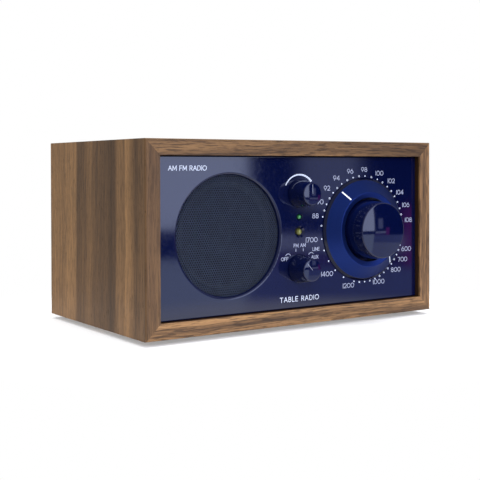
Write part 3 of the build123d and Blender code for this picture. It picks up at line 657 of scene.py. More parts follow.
def rounded(corners: Sequence[tuple[float, ...]], steps: int = 8) -> np.ndarray:
    """Round the corners of an outline.

    At a corner with rounding r, an arc of radius r touches both sides: its ends lie r / tan(half angle) from the
    corner, and its middle lies on the bisector at r / sin(half angle).

    Args:
        corners: (radius, depth) or (radius, depth, rounding) in millimetres; the ends are never rounded.
        steps: points on each arc.

    Returns:
        Points of the outline, in metres.
    """
    flat = [np.array(c[:2], float) for c in corners]
    out = [flat[0][None]]
    for i in range(1, len(corners) - 1):
        r = corners[i][2] if len(corners[i]) > 2 else 0.0
        if not r:
            out.append(flat[i][None])
            continue
        a = flat[i - 1] - flat[i]
        b = flat[i + 1] - flat[i]
        a, b = a / np.linalg.norm(a), b / np.linalg.norm(b)
        half = math.acos(float(np.clip(a @ b, -1, 1))) / 2
        bisector = (a + b) / np.linalg.norm(a + b)
        middle = flat[i] + bisector * r / math.sin(half)
        first, last = flat[i] + a * r / math.tan(half) - middle, flat[i] + b * r / math.tan(half) - middle
        sweep = math.acos(float(np.clip(first @ last / r / r, -1, 1)))
        t = np.linspace(0, 1, steps)[:, None]
        out.append(middle + (np.sin((1 - t) * sweep) * first + np.sin(t * sweep) * last) / math.sin(sweep))
    out.append(flat[-1][None])
    return np.concatenate(out) * MM


def dome(r: np.ndarray, radius: float, drop: float) -> np.ndarray:
    """(r, depth) rows of a face that falls back from its middle: its depth is drop * (r / radius) squared."""
    return np.stack([r, drop * (r / radius) ** 2], axis=1)


def bands(number: np.ndarray) -> np.ndarray:
    """Join each row of point numbers to the next one by quads, all the way round."""
    ahead = np.roll(number, -1, axis=1)
    return np.stack([number[:-1], number[1:], ahead[1:], ahead[:-1]], axis=2).reshape(-1, 4)


def at_depth(flat: np.ndarray, y: float) -> np.ndarray:
    """Turn (x, z) rows into (x, y, z) rows that all have the same y."""
    return np.insert(flat, 1, y, axis=1)


def swept(centre: Place, front: float, r: np.ndarray, d: np.ndarray, t: np.ndarray) -> np.ndarray:
    """Points at radius r, depth d and angle t about a centre: (cx + r cos t, front + d, cz + r sin t)."""
    return np.stack(np.broadcast_arrays(centre[0] + r * np.cos(t), front + d, centre[1] + r * np.sin(t)), axis=2)


def turned(outline: np.ndarray, centre: Place, front: float, segments: int = 192) -> Surface:
    """Turn an outline about the front-to-back line through a centre. A row at radius 0 is one point.

    Args:
        outline: (radius, depth) points, in metres; both ends at radius 0 close the surface.
        centre: x and z of the line.
        front: the y that depth 0 lies at.
        segments: steps round the line.

    Returns:
        The surface.
    """
    t = np.linspace(0, 2 * math.pi, segments, endpoint=False)
    grid = swept(centre, front, outline[:, :1], outline[:, 1:], t)
    number = np.arange(grid.shape[0] * segments).reshape(-1, segments)
    poles = outline[:, 0] < 1e-9
    number[poles] = number[poles][:, :1]
    quads = bands(number)
    start_pole, end_pole = quads[:, 0] == quads[:, 3], quads[:, 1] == quads[:, 2]
    triangles = np.concatenate([quads[start_pole][:, [0, 1, 2]], quads[end_pole][:, [0, 1, 3]]])
    return Surface(grid.reshape(-1, 3), quads[~(start_pole | end_pole)], triangles)


def ribbon(path: np.ndarray, widths: Union[float, np.ndarray], normal: np.ndarray, thickness: float) -> Surface:
    """Lay a flat line of ink or metal along a path.

    At each point the four corners are path +- side * width / 2 and the same lifted by normal * thickness, where
    side is the tangent crossed with the normal. The ends are capped, or joined where they meet.

    Args:
        path: (n, 3) points in metres.
        widths: one width, or one for each point.
        normal: the way that the line stands proud, one vector or one for each point.
        thickness: how far.

    Returns:
        A closed surface.
    """
    closed = len(path) > 2 and bool(np.allclose(path[0], path[-1], atol=1e-9))
    if closed:
        path = path[:-1]
        tangent = np.roll(path, -1, axis=0) - np.roll(path, 1, axis=0)
    else:
        tangent = np.gradient(path, axis=0)
    n = len(path)
    side = np.cross(tangent, np.broadcast_to(normal, path.shape))
    side /= np.linalg.norm(side, axis=1, keepdims=True)
    half = (np.broadcast_to(widths, (n,)) / 2)[:, None]
    lift = np.broadcast_to(normal, path.shape) * thickness
    left, right = path - side * half, path + side * half
    ring = np.stack([left, right, right + lift, left + lift], axis=1)
    number = np.arange(n * 4).reshape(n, 4)
    number = np.concatenate([number, number[:1]]) if closed else number
    caps = np.zeros((0, 4), int) if closed else number[[0, -1]]
    return Surface(ring.reshape(-1, 3), np.concatenate([bands(number), caps]))


def disc_marks(centres: np.ndarray, outer: float, inner: float, y: float, thickness: float) -> Surface:
    """Print round dots, or rings where inner is not 0, on the panel's face.

    Each dot is a turned outline from the panel at y to y - thickness, copied to every centre at once.

    Args:
        centres: (n, 2) x and z.
        outer: a dot's radius.
        inner: the radius of the hole in it, or 0.
        y: the face's place.
        thickness: the ink's thickness.

    Returns:
        All the dots.
    """
    outline = np.array([(inner, 0), (outer, 0), (outer, -thickness), (inner, -thickness)], float)
    if inner > 0:
        outline = np.concatenate([outline, outline[:1]])
    return turned(outline, (0.0, 0.0), y, 20).copied(at_depth(centres, 0.0))


def clock_point(centre: Place, radius: float, degrees: Union[float, np.ndarray]) -> np.ndarray:
    """Points on a circle at clockwise angles from the top, as (x, z) rows."""
    angle = np.radians(np.atleast_1d(degrees))
    return np.stack([centre[0] + radius * np.sin(angle), centre[1] + radius * np.cos(angle)], axis=1)


# ------------------------------------------------------------------ lettering
class Facing(Enum):
    """Which face of the radio a label is printed on."""

    FRONT = 1
    REAR = -1


def line(*corners: Place) -> list[np.ndarray]:
    """The straight strokes between corners, each one as two points."""
    return [np.array(pair, float) for pair in zip(corners, corners[1:])]


def curve(x: float, y: float, wide: float, tall: float, start: float = 0.0, end: float = 360.0) -> list[np.ndarray]:
    """One curved stroke: (x + wide cos t, y + tall sin t) as t goes from start to end degrees."""
    t = np.radians(np.linspace(start, end, 3 + int(abs(end - start) / 15)))
    return [np.stack([x + wide * np.cos(t), y + tall * np.sin(t)], axis=1)]


# Each sign is its width and its strokes, in units of the letters' height.
ALPHABET: dict[str, tuple[float, list[np.ndarray]]] = {
    " ": (0.35, []),
    "0": (0.92, curve(0.46, 0.5, 0.46, 0.5)),
    "1": (0.06, line((0.03, 0.0), (0.03, 1.0))),
    "2": (0.74, curve(0.36, 0.66, 0.34, 0.34, 165, -35) + line((0.64, 0.465), (0.02, 0.0), (0.74, 0.0))),
    "4": (0.82, line((0.62, 0.0), (0.62, 1.0), (0.0, 0.27), (0.82, 0.27))),
    "6": (0.78, curve(0.39, 0.35, 0.39, 0.35) + line((0.06, 0.52), (0.46, 1.0))),
    "7": (0.70, line((0.0, 1.0), (0.70, 1.0), (0.24, 0.0))),
    "8": (0.76, curve(0.38, 0.76, 0.29, 0.24) + curve(0.38, 0.26, 0.38, 0.26)),
    "9": (0.78, curve(0.39, 0.65, 0.39, 0.35) + line((0.72, 0.48), (0.32, 0.0))),
    "A": (0.86, line((0.0, 0.0), (0.43, 1.0), (0.86, 0.0)) + line((0.17, 0.36), (0.69, 0.36))),
    "B": (0.62, line((0.32, 0.53), (0.0, 0.53)) + line((0.30, 0.0), (0.0, 0.0), (0.0, 1.0), (0.32, 1.0))
          + curve(0.32, 0.765, 0.25, 0.235, 90, -90) + curve(0.30, 0.265, 0.32, 0.265, 90, -90)),
    "C": (0.82, curve(0.48, 0.5, 0.48, 0.5, 48, 312)),
    "D": (0.78, line((0.28, 0.0), (0.0, 0.0), (0.0, 1.0), (0.28, 1.0)) + curve(0.28, 0.5, 0.5, 0.5, 90, -90)),
    "E": (0.60, line((0.60, 1.0), (0.0, 1.0), (0.0, 0.0), (0.60, 0.0)) + line((0.0, 0.5), (0.52, 0.5))),
    "F": (0.58, line((0.58, 1.0), (0.0, 1.0), (0.0, 0.0)) + line((0.0, 0.5), (0.50, 0.5))),
    "H": (0.70, line((0.0, 0.0), (0.0, 1.0)) + line((0.70, 0.0), (0.70, 1.0)) + line((0.0, 0.5), (0.70, 0.5))),
    "I": (0.06, line((0.03, 0.0), (0.03, 1.0))),
    "L": (0.54, line((0.0, 1.0), (0.0, 0.0), (0.54, 0.0))),
    "M": (0.92, line((0.0, 0.0), (0.04, 1.0), (0.46, 0.2), (0.88, 1.0), (0.92, 0.0))),
    "N": (0.74, line((0.0, 0.0), (0.0, 1.0), (0.74, 0.0), (0.74, 1.0))),
    "O": (1.00, curve(0.5, 0.5, 0.5, 0.5)),
    "P": (0.60, line((0.0, 0.0), (0.0, 1.0), (0.32, 1.0)) + curve(0.32, 0.74, 0.28, 0.26, 90, -90)
          + line((0.32, 0.48), (0.0, 0.48))),
    "R": (0.62, line((0.0, 0.0), (0.0, 1.0), (0.32, 1.0)) + curve(0.32, 0.74, 0.28, 0.26, 90, -90)
          + line((0.0, 0.48), (0.32, 0.48), (0.62, 0.0))),
    "S": (0.60, curve(0.30, 0.75, 0.27, 0.25, 25, 270) + curve(0.30, 0.25, 0.30, 0.25, 90, -155)),
    "T": (0.72, line((0.0, 1.0), (0.72, 1.0)) + line((0.36, 1.0), (0.36, 0.0))),
    "U": (0.68, line((0.0, 1.0), (0.0, 0.34)) + curve(0.34, 0.34, 0.34, 0.34, 180, 360)
          + line((0.68, 0.34), (0.68, 1.0))),
    "V": (0.80, line((0.0, 1.0), (0.40, 0.0), (0.80, 1.0))),
    "X": (0.74, line((0.0, 0.0), (0.74, 1.0)) + line((0.0, 1.0), (0.74, 0.0))),
}


@dataclass(frozen=True)
class Label:
    """A few capitals or figures printed on a face, centred on a place."""

    text: str
    place: Place
    height: float
    weight: float = 0.15
    spacing: float = 0.30
    stretch: float = 1.0

    def surface(self, y: float, thickness: float, facing: Facing = Facing.FRONT) -> list[Surface]:
        """Lay the label's strokes on a face.

        Every stroke is a ribbon. Straight ones reach half their width past both ends, so corners are square, and
        each stroke is a thousandth of a millimetre prouder than the one before it, over and over in sevens.

        Args:
            y: the face's place.
            thickness: the ink's thickness.
            facing: the way that the face looks.

        Returns:
            The ribbons.
        """
        widths = [ALPHABET[sign][0] for sign in self.text]
        total = sum(widths) + self.spacing * (len(widths) - 1)
        start, made = -total / 2, []
        normal = np.array([0.0, -facing.value, 0.0])
        for sign, wide in zip(self.text, widths):
            for stroke in ALPHABET[sign][1]:
                flat = stroke + (start, -0.5)
                if len(flat) == 2:
                    reach = (flat[1] - flat[0]) / np.linalg.norm(flat[1] - flat[0]) * self.weight / 2
                    flat = np.array([flat[0] - reach, flat[1] + reach])
                flat = self.place + flat * (self.stretch * facing.value, 1.0) * self.height
                proud = thickness + len(made) % 7 * 0.001 * MM
                made.append(ribbon(at_depth(flat, y), self.weight * self.height, normal, proud))
            start += wide + self.spacing
        return made


# ------------------------------------------------------------------ what several assemblies share
TOWARDS_FRONT = np.array([0.0, -1.0, 0.0])
INK = 0.03 * MM
CAPITALS = 1.9 * MM


def blue_black(name: str) -> bpy.types.Material:
    """The deep navy gloss of the panel and the knobs."""
    return Gloss(name, (0.0012, 0.0030, 0.0260)).material()


def printing(name: str, colour: Colour) -> bpy.types.Material:
    """Screen-printed ink."""
    return Moulding(name, colour, 0.5, 6000.0, 0.000003, 0.05).material()


def centre_of(node: str) -> Place:
    """The x and z of the middle of a CAD node's box."""
    low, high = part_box(node)
    return (low.x + high.x) / 2, (low.z + high.z) / 2


def dress(node: str, finish: bpy.types.Material) -> None:
    """Give a CAD node that stays as it is its finish."""
    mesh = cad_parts[node].data
    mesh.materials.clear()
    mesh.materials.append(finish)


# ------------------------------------------------------------------ assemblies
@dataclass
class Cabinet:
    """The four mitred walnut boards, the cleats inside them, the feet and the bass port."""

    leaf: tuple[tuple[float, float], ...] = (
        (0.00, 0.30), (0.05, 0.42), (0.09, 0.20), (0.13, 0.55), (0.165, 0.90), (0.185, 1.00), (0.20, 0.62),
        (0.26, 0.70), (0.285, 0.22), (0.33, 0.06), (0.36, 0.34), (0.45, 0.52), (0.60, 0.48), (0.68, 0.36),
        (0.70, 0.82), (0.80, 0.92), (0.86, 0.66), (0.93, 0.74), (1.00, 0.78),
    )
    body: str = "cabinet"

    def build(self) -> None:
        """Dress the boards, the cleats, the feet and the port."""
        # The top is painted darker, and the bottom and the right side brighter, than the left: painted light and shade
        # for how light falls on each board.
        boards = {
            "cabinet_top": Walnut("walnut_top", Grain.ALONG_X, 1.7, tint=0.80),
            "cabinet_bottom": Walnut("walnut_bottom", Grain.ALONG_X, 4.9, tint=1.3),
            "cabinet_left_side": Walnut("walnut_left", Grain.ALONG_Z, 8.3, self.leaf, flecks=0.3),
            "cabinet_right_side": Walnut("walnut_right", Grain.ALONG_Z, 2.4, tint=1.7),
        }
        for node, walnut in boards.items():
            smooth_twin(node, f"{node}_veneered", self.body, walnut.material())
        rubber = Moulding("foot_rubber", (0.018, 0.018, 0.019), 0.75, 2600.0, 0.00003).material()
        smooth_twin("rubber_feet", "moulded_feet", self.body, rubber)
        port = Moulding("port_plastic", (0.014, 0.014, 0.015), 0.42, 3800.0, 0.00001).material()
        smooth_twin("bass_port", "flared_bass_port", self.body, port)
        pine = Moulding("sawn_pine", (0.52, 0.36, 0.20), 0.7, 900.0, 0.00005, 0.2).material()
        dress("corner_cleats", pine)


@dataclass(frozen=True)
class Mark:
    """One frequency on the scale: its dot's angle clockwise from the top, and where its figures stand, if shown."""

    number: int
    angle: float
    label_angle: float = 0.0
    label_reach: float = 0.0


FM_MARKS = (
    Mark(88, -75.0, -76.0, 39.5), Mark(90, -61.0, -62.5, 39.2), Mark(92, -46.0, -47.8, 39.5),
    Mark(94, -31.0, -33.5, 39.3), Mark(96, -14.0, -16.0, 38.4), Mark(98, 3.0, 1.5, 38.0),
    Mark(100, 21.0, 21.4, 38.2), Mark(102, 37.5, 38.3, 38.9), Mark(104, 53.0, 54.0, 39.1),
    Mark(106, 68.5, 68.5, 39.7), Mark(108, 83.0, 83.3, 39.5),
)
AM_MARKS = (
    Mark(1700, -98.5, -97.0, 41.6), Mark(1600, -111.0), Mark(1500, -124.0), Mark(1400, -137.5, -132.5, 39.7),
    Mark(1300, -151.5), Mark(1200, -167.0, -161.0, 37.3), Mark(1100, -182.0), Mark(1000, -197.0, -200.8, 36.9),
    Mark(900, -211.5), Mark(800, -225.5, -225.3, 39.3), Mark(700, -238.0, -238.0, 40.0),
    Mark(600, -249.5, -248.8, 40.0), Mark(530, -259.0),
)


@dataclass
class Fascia:
    """The glossy front panel and all that is printed on it."""

    figure_height: float = 0.0027
    dot_ring: float = 0.03387
    dot: float = 0.00050
    low_fm_ring: float = -84.5
    volume_ring: float = 0.0116
    volume_sweep: tuple[float, float] = (-63.5, 50.7)
    volume_widths: tuple[float, float] = (0.00055, 0.00135)
    source_ink: float = 0.00042
    first_am_ring: int = 1200
    body: str = "cabinet"

    def __post_init__(self) -> None:
        """Take the panel's face and the controls' centres from the frame."""
        self.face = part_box("front_panel")[0].y
        self.dial = centre_of("tuning_dial")
        self.volume = centre_of("volume_knob")
        self.source = centre_of("source_knob")

    def build(self) -> None:
        """Dress the panel and print it."""
        smooth_twin("front_panel", "lacquered_front_panel", self.body, blue_black("panel_lacquer"))
        bright = printing("screen_print_white", (0.62, 0.66, 0.76))
        soft = printing("screen_print_grey", (0.34, 0.36, 0.46))
        for name, parts, ink in (
            ("printed_scale_dots", self.dots(), bright),
            ("printed_scale_figures", self.figures(), soft),
            ("printed_volume_arc", [self.volume_arc()], bright),
            ("printed_source_marks", self.source_marks(), soft),
            ("printed_words", self.words(), bright),
        ):
            place_piece(Surface.joined(parts).mesh(name), self.body, ink)

    def dots(self) -> list[Surface]:
        """Solid dots at the named frequencies, and open rings half way between them."""
        fm = np.array([mark.angle for mark in FM_MARKS])
        am = np.array([mark.angle for mark in AM_MARKS])
        ringed = np.array([mark.angle for mark in AM_MARKS if mark.number <= self.first_am_ring])
        rings = np.concatenate([[self.low_fm_ring], (fm[1:] + fm[:-1]) / 2, (ringed[1:] + ringed[:-1]) / 2])
        solid = clock_point(self.dial, self.dot_ring, np.concatenate([fm, am]))
        open_ones = clock_point(self.dial, self.dot_ring, rings)
        return [
            disc_marks(solid, self.dot, 0.0, self.face, INK),
            disc_marks(open_ones, self.dot * 1.25, self.dot * 0.65, self.face, INK),
        ]

    def figures(self) -> list[Surface]:
        """The frequencies, in wide thin figures."""
        made = []
        for mark in (*FM_MARKS, *AM_MARKS):
            if mark.label_reach:
                x, z = clock_point(self.dial, mark.label_reach * MM, mark.label_angle)[0]
                label = Label(str(mark.number), (x, z), self.figure_height, 0.15, 0.24, 0.98)
                made += label.surface(self.face, INK)
        return made

    def arc(self, centre: Place, radius: float, start: float, end: float, widths: tuple[float, float]) -> Surface:
        """An arc of ink whose width goes evenly from one number to the other."""
        path = at_depth(clock_point(centre, radius, np.linspace(start, end, 48)), self.face)
        return ribbon(path, np.linspace(*widths, len(path)), TOWARDS_FRONT, INK)

    def volume_arc(self) -> Surface:
        """The arc round the volume knob, which swells towards loud."""
        return self.arc(self.volume, self.volume_ring, *self.volume_sweep, self.volume_widths)

    def tick(self, start: Place, end: Place, width: float) -> Surface:
        """A straight line of ink."""
        return ribbon(at_depth(np.array([start, end]), self.face), width, TOWARDS_FRONT, INK)

    def source_marks(self) -> list[Surface]:
        """The source names with their ticks and small arcs."""
        sx, sz = self.source
        named = (("FM", -2.6, 14.2), ("AM", 2.6, 14.2), ("OFF", -11.2, 6.4), ("LINE", 12.6, 11.4), ("AUX", 11.7, 6.5))
        made = []
        for text, across, up in named:
            place = (sx + across * MM, sz + up * MM)
            made += Label(text, place, CAPITALS, 0.19, 0.24).surface(self.face, INK)
        for across in (-2.8, 2.8):
            foot, head = ((sx + across * MM, sz + up * MM) for up in (10.5, 12.3))
            made.append(self.tick(foot, head, self.source_ink))
        for across, end in ((-8.6, 62.0), (8.9, 50.0)):
            middle = (sx + across * MM, sz + 7.2 * MM)
            made.append(self.arc(middle, 2.2 * MM, -62.0, end, (self.source_ink, self.source_ink)))
        return made

    def words(self) -> list[Surface]:
        """Two plain descriptions of the radio."""
        low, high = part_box("front_panel")
        labels = [
            Label("AM FM RADIO", (low.x + 19.3 * MM, high.z - 6.9 * MM), 2.55 * MM, 0.15, 0.24),
            Label("TABLE RADIO", (self.source[0], low.z + 5.7 * MM), 2.75 * MM, 0.14, 0.36),
        ]
        return [surface for label in labels for surface in label.surface(self.face, INK)]


@dataclass
class Grille:
    """The perforated steel disc in front of the loudspeaker."""

    pitch: float = 0.00152
    hole: float = 0.00061
    sheet_thickness: float = 0.00025
    perforated: float = 0.0372
    rim_overlap: float = 0.0006
    rim_inset: float = 0.00002
    body: str = "cabinet"

    def sheet(self) -> Surface:
        """Tile the disc with six-sided cells, each with a round hole.

        Cell (i, j) is centred at (i + j / 2) pitches across and j * sqrt(3) / 2 pitches up. Twelve points at steps
        of 30 degrees run round its hole, and twelve round its edge, where they fall on its corners and on the
        middles of its sides, so neighbours share them.

        Returns:
            The flat front of the sheet.
        """
        rows = int(self.perforated / self.pitch * 1.4)
        i, j = np.meshgrid(np.arange(-2 * rows, 2 * rows + 1), np.arange(-rows, rows + 1))
        centres = np.stack([i + j / 2, j * math.sqrt(3) / 2], axis=2).reshape(-1, 2) * self.pitch
        centres = centres[np.linalg.norm(centres, axis=1) < self.perforated]
        step = np.arange(12)
        around = np.stack([np.cos(np.radians(step * 30.0)), np.sin(np.radians(step * 30.0))], axis=1)
        edge = np.where(step % 2 == 0, self.pitch / 2, self.pitch / math.sqrt(3))[:, None] * around
        cell = Surface(at_depth(np.concatenate([self.hole * around, edge]), 0.0), bands(np.arange(24).reshape(2, 12)))
        return cell.copied(at_depth(centres + centre_of("speaker_grille"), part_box("speaker_grille")[0].y))

    def build(self) -> None:
        """Make the sheet with its thickness, and the plain rim round it."""
        low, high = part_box("speaker_grille")
        paint = Metal("grille_paint", (0.026, 0.037, 0.068), 0.40, 0.35, (300.0, 300.0, 300.0)).material()
        mesh = self.sheet().mesh("perforated_grille")
        sheet = place_piece(mesh, self.body, paint, ["speaker_grille"])
        if mesh.polygons[0].normal.y > 0:
            mesh.flip_normals()
        solidify = sheet.modifiers.new("sheet_thickness", "SOLIDIFY")
        solidify.thickness = self.sheet_thickness
        solidify.offset = -1.0
        inner, outer = (self.perforated - self.rim_overlap) / MM, (high.x - low.x) / 2 / MM
        near, far = self.rim_inset / MM, (high.y - low.y - self.rim_inset) / MM
        corners = [(inner, near), (outer, near), (outer, far), (inner, far), (inner, near)]
        rim = turned(rounded(corners), centre_of("speaker_grille"), low.y, 128)
        place_piece(rim.mesh("grille_rim"), self.body, paint)


@dataclass
class Tuner:
    """The big dial with its two pointer lines, and the knob in its middle.

    The line's width and the satin's radii are in metres, and the other lengths are in millimetres.
    """

    reach: float = 16.7
    line_width: float = 0.00095
    line_angles: tuple[float, float] = (-38.5, 137.0)
    line_radii: tuple[float, float] = (24.4, 30.6)
    slope_top: tuple[float, float] = (23.5, -3.2)
    slope_foot: tuple[float, float] = (31.55, 2.3)
    satin_radii: tuple[float, float] = (0.0203, 0.0312)
    face_radius: float = 17.3
    face_drop: float = 1.2

    def __post_init__(self) -> None:
        """Take the centre and the cabinet's front edge from the frame."""
        self.centre = centre_of("tuning_dial")
        self.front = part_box("cabinet_top")[0].y

    def build(self) -> None:
        """Make the dial, its lines and the knob."""
        dial_corners = [
            (5.52, 0.8), (19.8, 0.8), (19.8, -2.4, 0.3), (*self.slope_top, 1.1), (*self.slope_foot, 0.5),
            (32.7, 3.4), (30.8, 3.4), (23.6, -1.4), (21.6, -0.9), (21.6, 2.8), (5.52, 2.8), (5.52, 0.8),
        ]
        dial_blue = SatinDial("dial_blue_lacquer", self.centre, self.satin_radii).material()
        dial = turned(rounded(dial_corners, 12), self.centre, self.front, 256)
        place_piece(dial.mesh("turned_tuning_dial"), "tuning_dial", dial_blue, ["tuning_dial"])
        white = Moulding("pointer_white", (0.80, 0.82, 0.86), 0.45, 5000.0, 0.000003, 0.04).material()
        lines = Surface.joined([self.pointer(angle) for angle in self.line_angles])
        place_piece(lines.mesh("dial_pointer_lines"), "tuning_dial", white)
        r = np.linspace(0.0, self.face_radius - 1.0, 40)
        face = dome(r, self.face_radius, self.face_drop) - (0.0, self.reach)
        edge = (self.face_radius, self.face_drop - self.reach, 0.8)
        skirt = rounded([tuple(face[-1]), edge, (18.9, 0.4), (16.9, 0.4), (15.5, -13.4), (0.0, -13.4)], 12)
        knob = turned(np.concatenate([face * MM, skirt[1:]]), self.centre, self.front, 256)
        place_piece(knob.mesh("domed_tuning_knob"), "tuning_knob", blue_black("tuning_knob_gloss"),
                    ["tuning_knob"])

    def pointer(self, angle: float) -> Surface:
        """A white line down the dial's outer slope: it lies on the straight cone between its top and its foot."""
        (r0, d0), (r1, d1) = self.slope_top, self.slope_foot
        r = np.linspace(*self.line_radii, 12)
        d = d0 + (d1 - d0) * (r - r0) / (r1 - r0)
        turn = math.radians(angle)
        out = np.array([math.sin(turn), 0.0, math.cos(turn)])
        centre = np.array([self.centre[0], self.front, self.centre[1]])
        path = centre + (r[:, None] * out - d[:, None] * TOWARDS_FRONT) * MM
        slope = np.array([r1 - r0, d1 - d0]) / math.hypot(r1 - r0, d1 - d0)
        normal = slope[1] * out + np.array([0.0, -slope[0], 0.0])
        return ribbon(path, self.line_width, normal, INK)


@dataclass
class SmallKnob:
    """One of the two tapered knobs, with a line across half of its slightly domed face.

    The line's width is in metres, and the other lengths are in millimetres.
    """

    node: str
    body: str
    angle: float
    foot: float = 8.75
    face: float = 6.7
    length: float = 12.8
    drop: float = 0.25
    rim: float = 0.9
    line_start: float = 0.2
    line_width: float = 0.00042

    def build(self) -> None:
        """Make the knob and its line."""
        centre = centre_of(self.node)
        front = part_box(self.node)[0].y
        face = dome(np.linspace(0.0, self.face - self.rim, 16), self.face, self.drop)
        corners = [tuple(face[-1]), (self.face, self.drop, 0.6), (self.foot, self.length, 0.3), (7.0, self.length),
                   (7.0, self.length - 2.4), (0.0, self.length - 2.4)]
        knob = turned(np.concatenate([face * MM, rounded(corners)[1:]]), centre, front, 160)
        gloss = blue_black(f"{self.node}_gloss")
        place_piece(knob.mesh(f"tapered_{self.node}"), self.body, gloss, [self.node])
        pale = Moulding(f"{self.node}_line_grey", (0.16, 0.17, 0.22), 0.35, 5000.0, 0.000003, 0.04).material()
        r, depth = dome(np.linspace(self.line_start, self.face - self.rim, 8), self.face, self.drop).T * MM
        turn = math.radians(self.angle)
        path = np.stack([centre[0] + r * math.sin(turn), front + depth, centre[1] + r * math.cos(turn)], axis=1)
        mark = ribbon(path, self.line_width, TOWARDS_FRONT, 0.02 * MM)
        place_piece(mark.mesh(f"{self.node}_line"), self.body, pale)


@dataclass
class Light:
    """A small resin indicator light in its countersunk hole."""

    node: str
    colour: Colour
    core: Colour
    slot: str

    def build(self) -> None:
        """Dress the light with its tinted lens."""
        low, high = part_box(self.node)
        centre = centre_of(self.node)
        lens = Lens(f"{self.node}_resin", self.colour, self.core, centre, (high.x - low.x) / 2).material()
        smooth_twin(self.node, f"{self.node}_dome", "cabinet", lens)


@dataclass
class Rear:
    """The rear panel, its screws, sockets and switch; the spacings and the pins' seat are in millimetres."""

    body: str = "cabinet"
    jack_spacing: float = 18.0
    pin_spacing: float = 8.6
    pin_seat: float = 118.0

    def build(self) -> None:
        """Dress the panel and what stands in it, and add the metal contacts and the lettering."""
        black = Moulding("rear_black", (0.016, 0.016, 0.017), 0.50, 2400.0, 0.00003).material()
        fine = Moulding("socket_black", (0.012, 0.012, 0.013), 0.38, 4200.0, 0.00001).material()
        smooth_twin("rear_panel", "textured_rear_panel", self.body, black)
        for node in ("mains_inlet", "antenna_switch_frame", "audio_jacks", "power_jack"):
            smooth_twin(node, f"{node}_moulding", self.body, fine)
        smooth_twin("antenna_switch_slider", "ribbed_slider", "antenna_switch", fine)
        oxide = Metal("black_oxide", (0.035, 0.035, 0.037), 0.38, 0.8).material()
        smooth_twin("rear_panel_screws", "rear_cross_screws", self.body, oxide)
        nickel = Metal("bright_nickel", (0.66, 0.64, 0.60), 0.18, 1.0, (300.0, 1400.0, 300.0)).material()
        self.contacts(nickel)
        self.lettering()

    def contacts(self, nickel: bpy.types.Material) -> None:
        """Sleeve the mains pins, line the jacks and cut the aerial connector's thread."""
        x, z = centre_of("mains_inlet")
        pin = np.concatenate([[[0.0, 0.0]], rounded([(1.225, 0.0), (1.225, 9.7, 0.5), (0.0, 10.05)])])
        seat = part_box("cabinet_top")[0].y + self.pin_seat * MM
        pins = [turned(pin, (x + side * self.pin_spacing / 2 * MM, z), seat, 32) for side in (-1, 1)]
        place_piece(Surface.joined(pins).mesh("mains_pins"), self.body, nickel)
        x, z = centre_of("audio_jacks")
        liner = rounded([(1.82, -4.0), (3.2, -4.0), (3.2, 0.0), (2.9, 0.03), (1.82, 0.0), (1.82, -4.0)])
        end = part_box("audio_jacks")[1].y
        liners = [turned(liner, (x + i * self.jack_spacing * MM, z), end, 40) for i in (-1, 0, 1)]
        place_piece(Surface.joined(liners).mesh("jack_liners"), self.body, nickel)
        self.thread(nickel)

    def thread(self, nickel: bpy.types.Material) -> None:
        """The aerial connector: a shell whose outside follows a screw thread.

        At angle t and depth d the radius is r - h * |2 frac(d / p - t / 2 pi) - 1|, which is a V thread of height
        h and pitch p; it fades out at both ends.
        """
        low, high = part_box("antenna_connector")
        centre = centre_of("antenna_connector")
        radius, height, pitch, length = 4.76 * MM, 0.35 * MM, 0.79 * MM, 4.6 * MM
        rows, segments = 72, 96
        t = np.linspace(0, 2 * math.pi, segments, endpoint=False)[None]
        d = np.linspace(0, length, rows)[:, None]
        phase = d / pitch - t / (2 * math.pi)
        fade = np.clip(np.minimum(d, length - d) / (0.5 * pitch), 0, 1)
        r = radius - height * np.abs(2 * (phase - np.floor(phase)) - 1) * fade - height * 0.4 * (1 - fade)
        grid = swept(centre, high.y - length, r, d, t)
        wall = Surface(grid.reshape(-1, 3), bands(np.arange(rows * segments).reshape(rows, segments)))
        mouth = [(4.62, 19.35), (4.3, 19.4), (3.4, 19.4), (3.4, 18.6), (0.75, 18.6), (0.75, 14.0), (0.0, 14.0)]
        back = [(4.62, 14.8), (5.4, 14.8), (5.4, 12.3), (6.8, 12.3), (6.8, 0.0), (0.0, 0.0)]
        ends = [turned(rounded(outline), centre, low.y, segments) for outline in (mouth, back)]
        mesh = Surface.joined([wall, *ends]).mesh("threaded_antenna_connector")
        place_piece(mesh, self.body, nickel, ["antenna_connector"])

    def lettering(self) -> None:
        """Plain names beside the sockets."""
        names = (
            ("AUX IN", "audio_jacks", self.jack_spacing, -8.5),
            ("REC OUT", "audio_jacks", 0.0, -8.5),
            ("PHONES", "audio_jacks", -self.jack_spacing, -8.5),
            ("12 V", "power_jack", 0.0, -8.5),
            ("ANTENNA", "antenna_connector", 0.0, 9.5),
            ("INT    EXT", "antenna_switch_frame", 0.0, 6.8),
            ("AC MAINS", "mains_inlet", 0.0, 13.5),
        )
        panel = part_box("rear_panel")[1].y
        strokes = []
        for text, node, across, up in names:
            x, z = centre_of(node)
            label = Label(text, (x + across * MM, z + up * MM), CAPITALS, 0.17)
            strokes += label.surface(panel, INK, Facing.REAR)
        white = printing("rear_print", (0.55, 0.56, 0.58))
        place_piece(Surface.joined(strokes).mesh("printed_rear_names"), self.body, white)


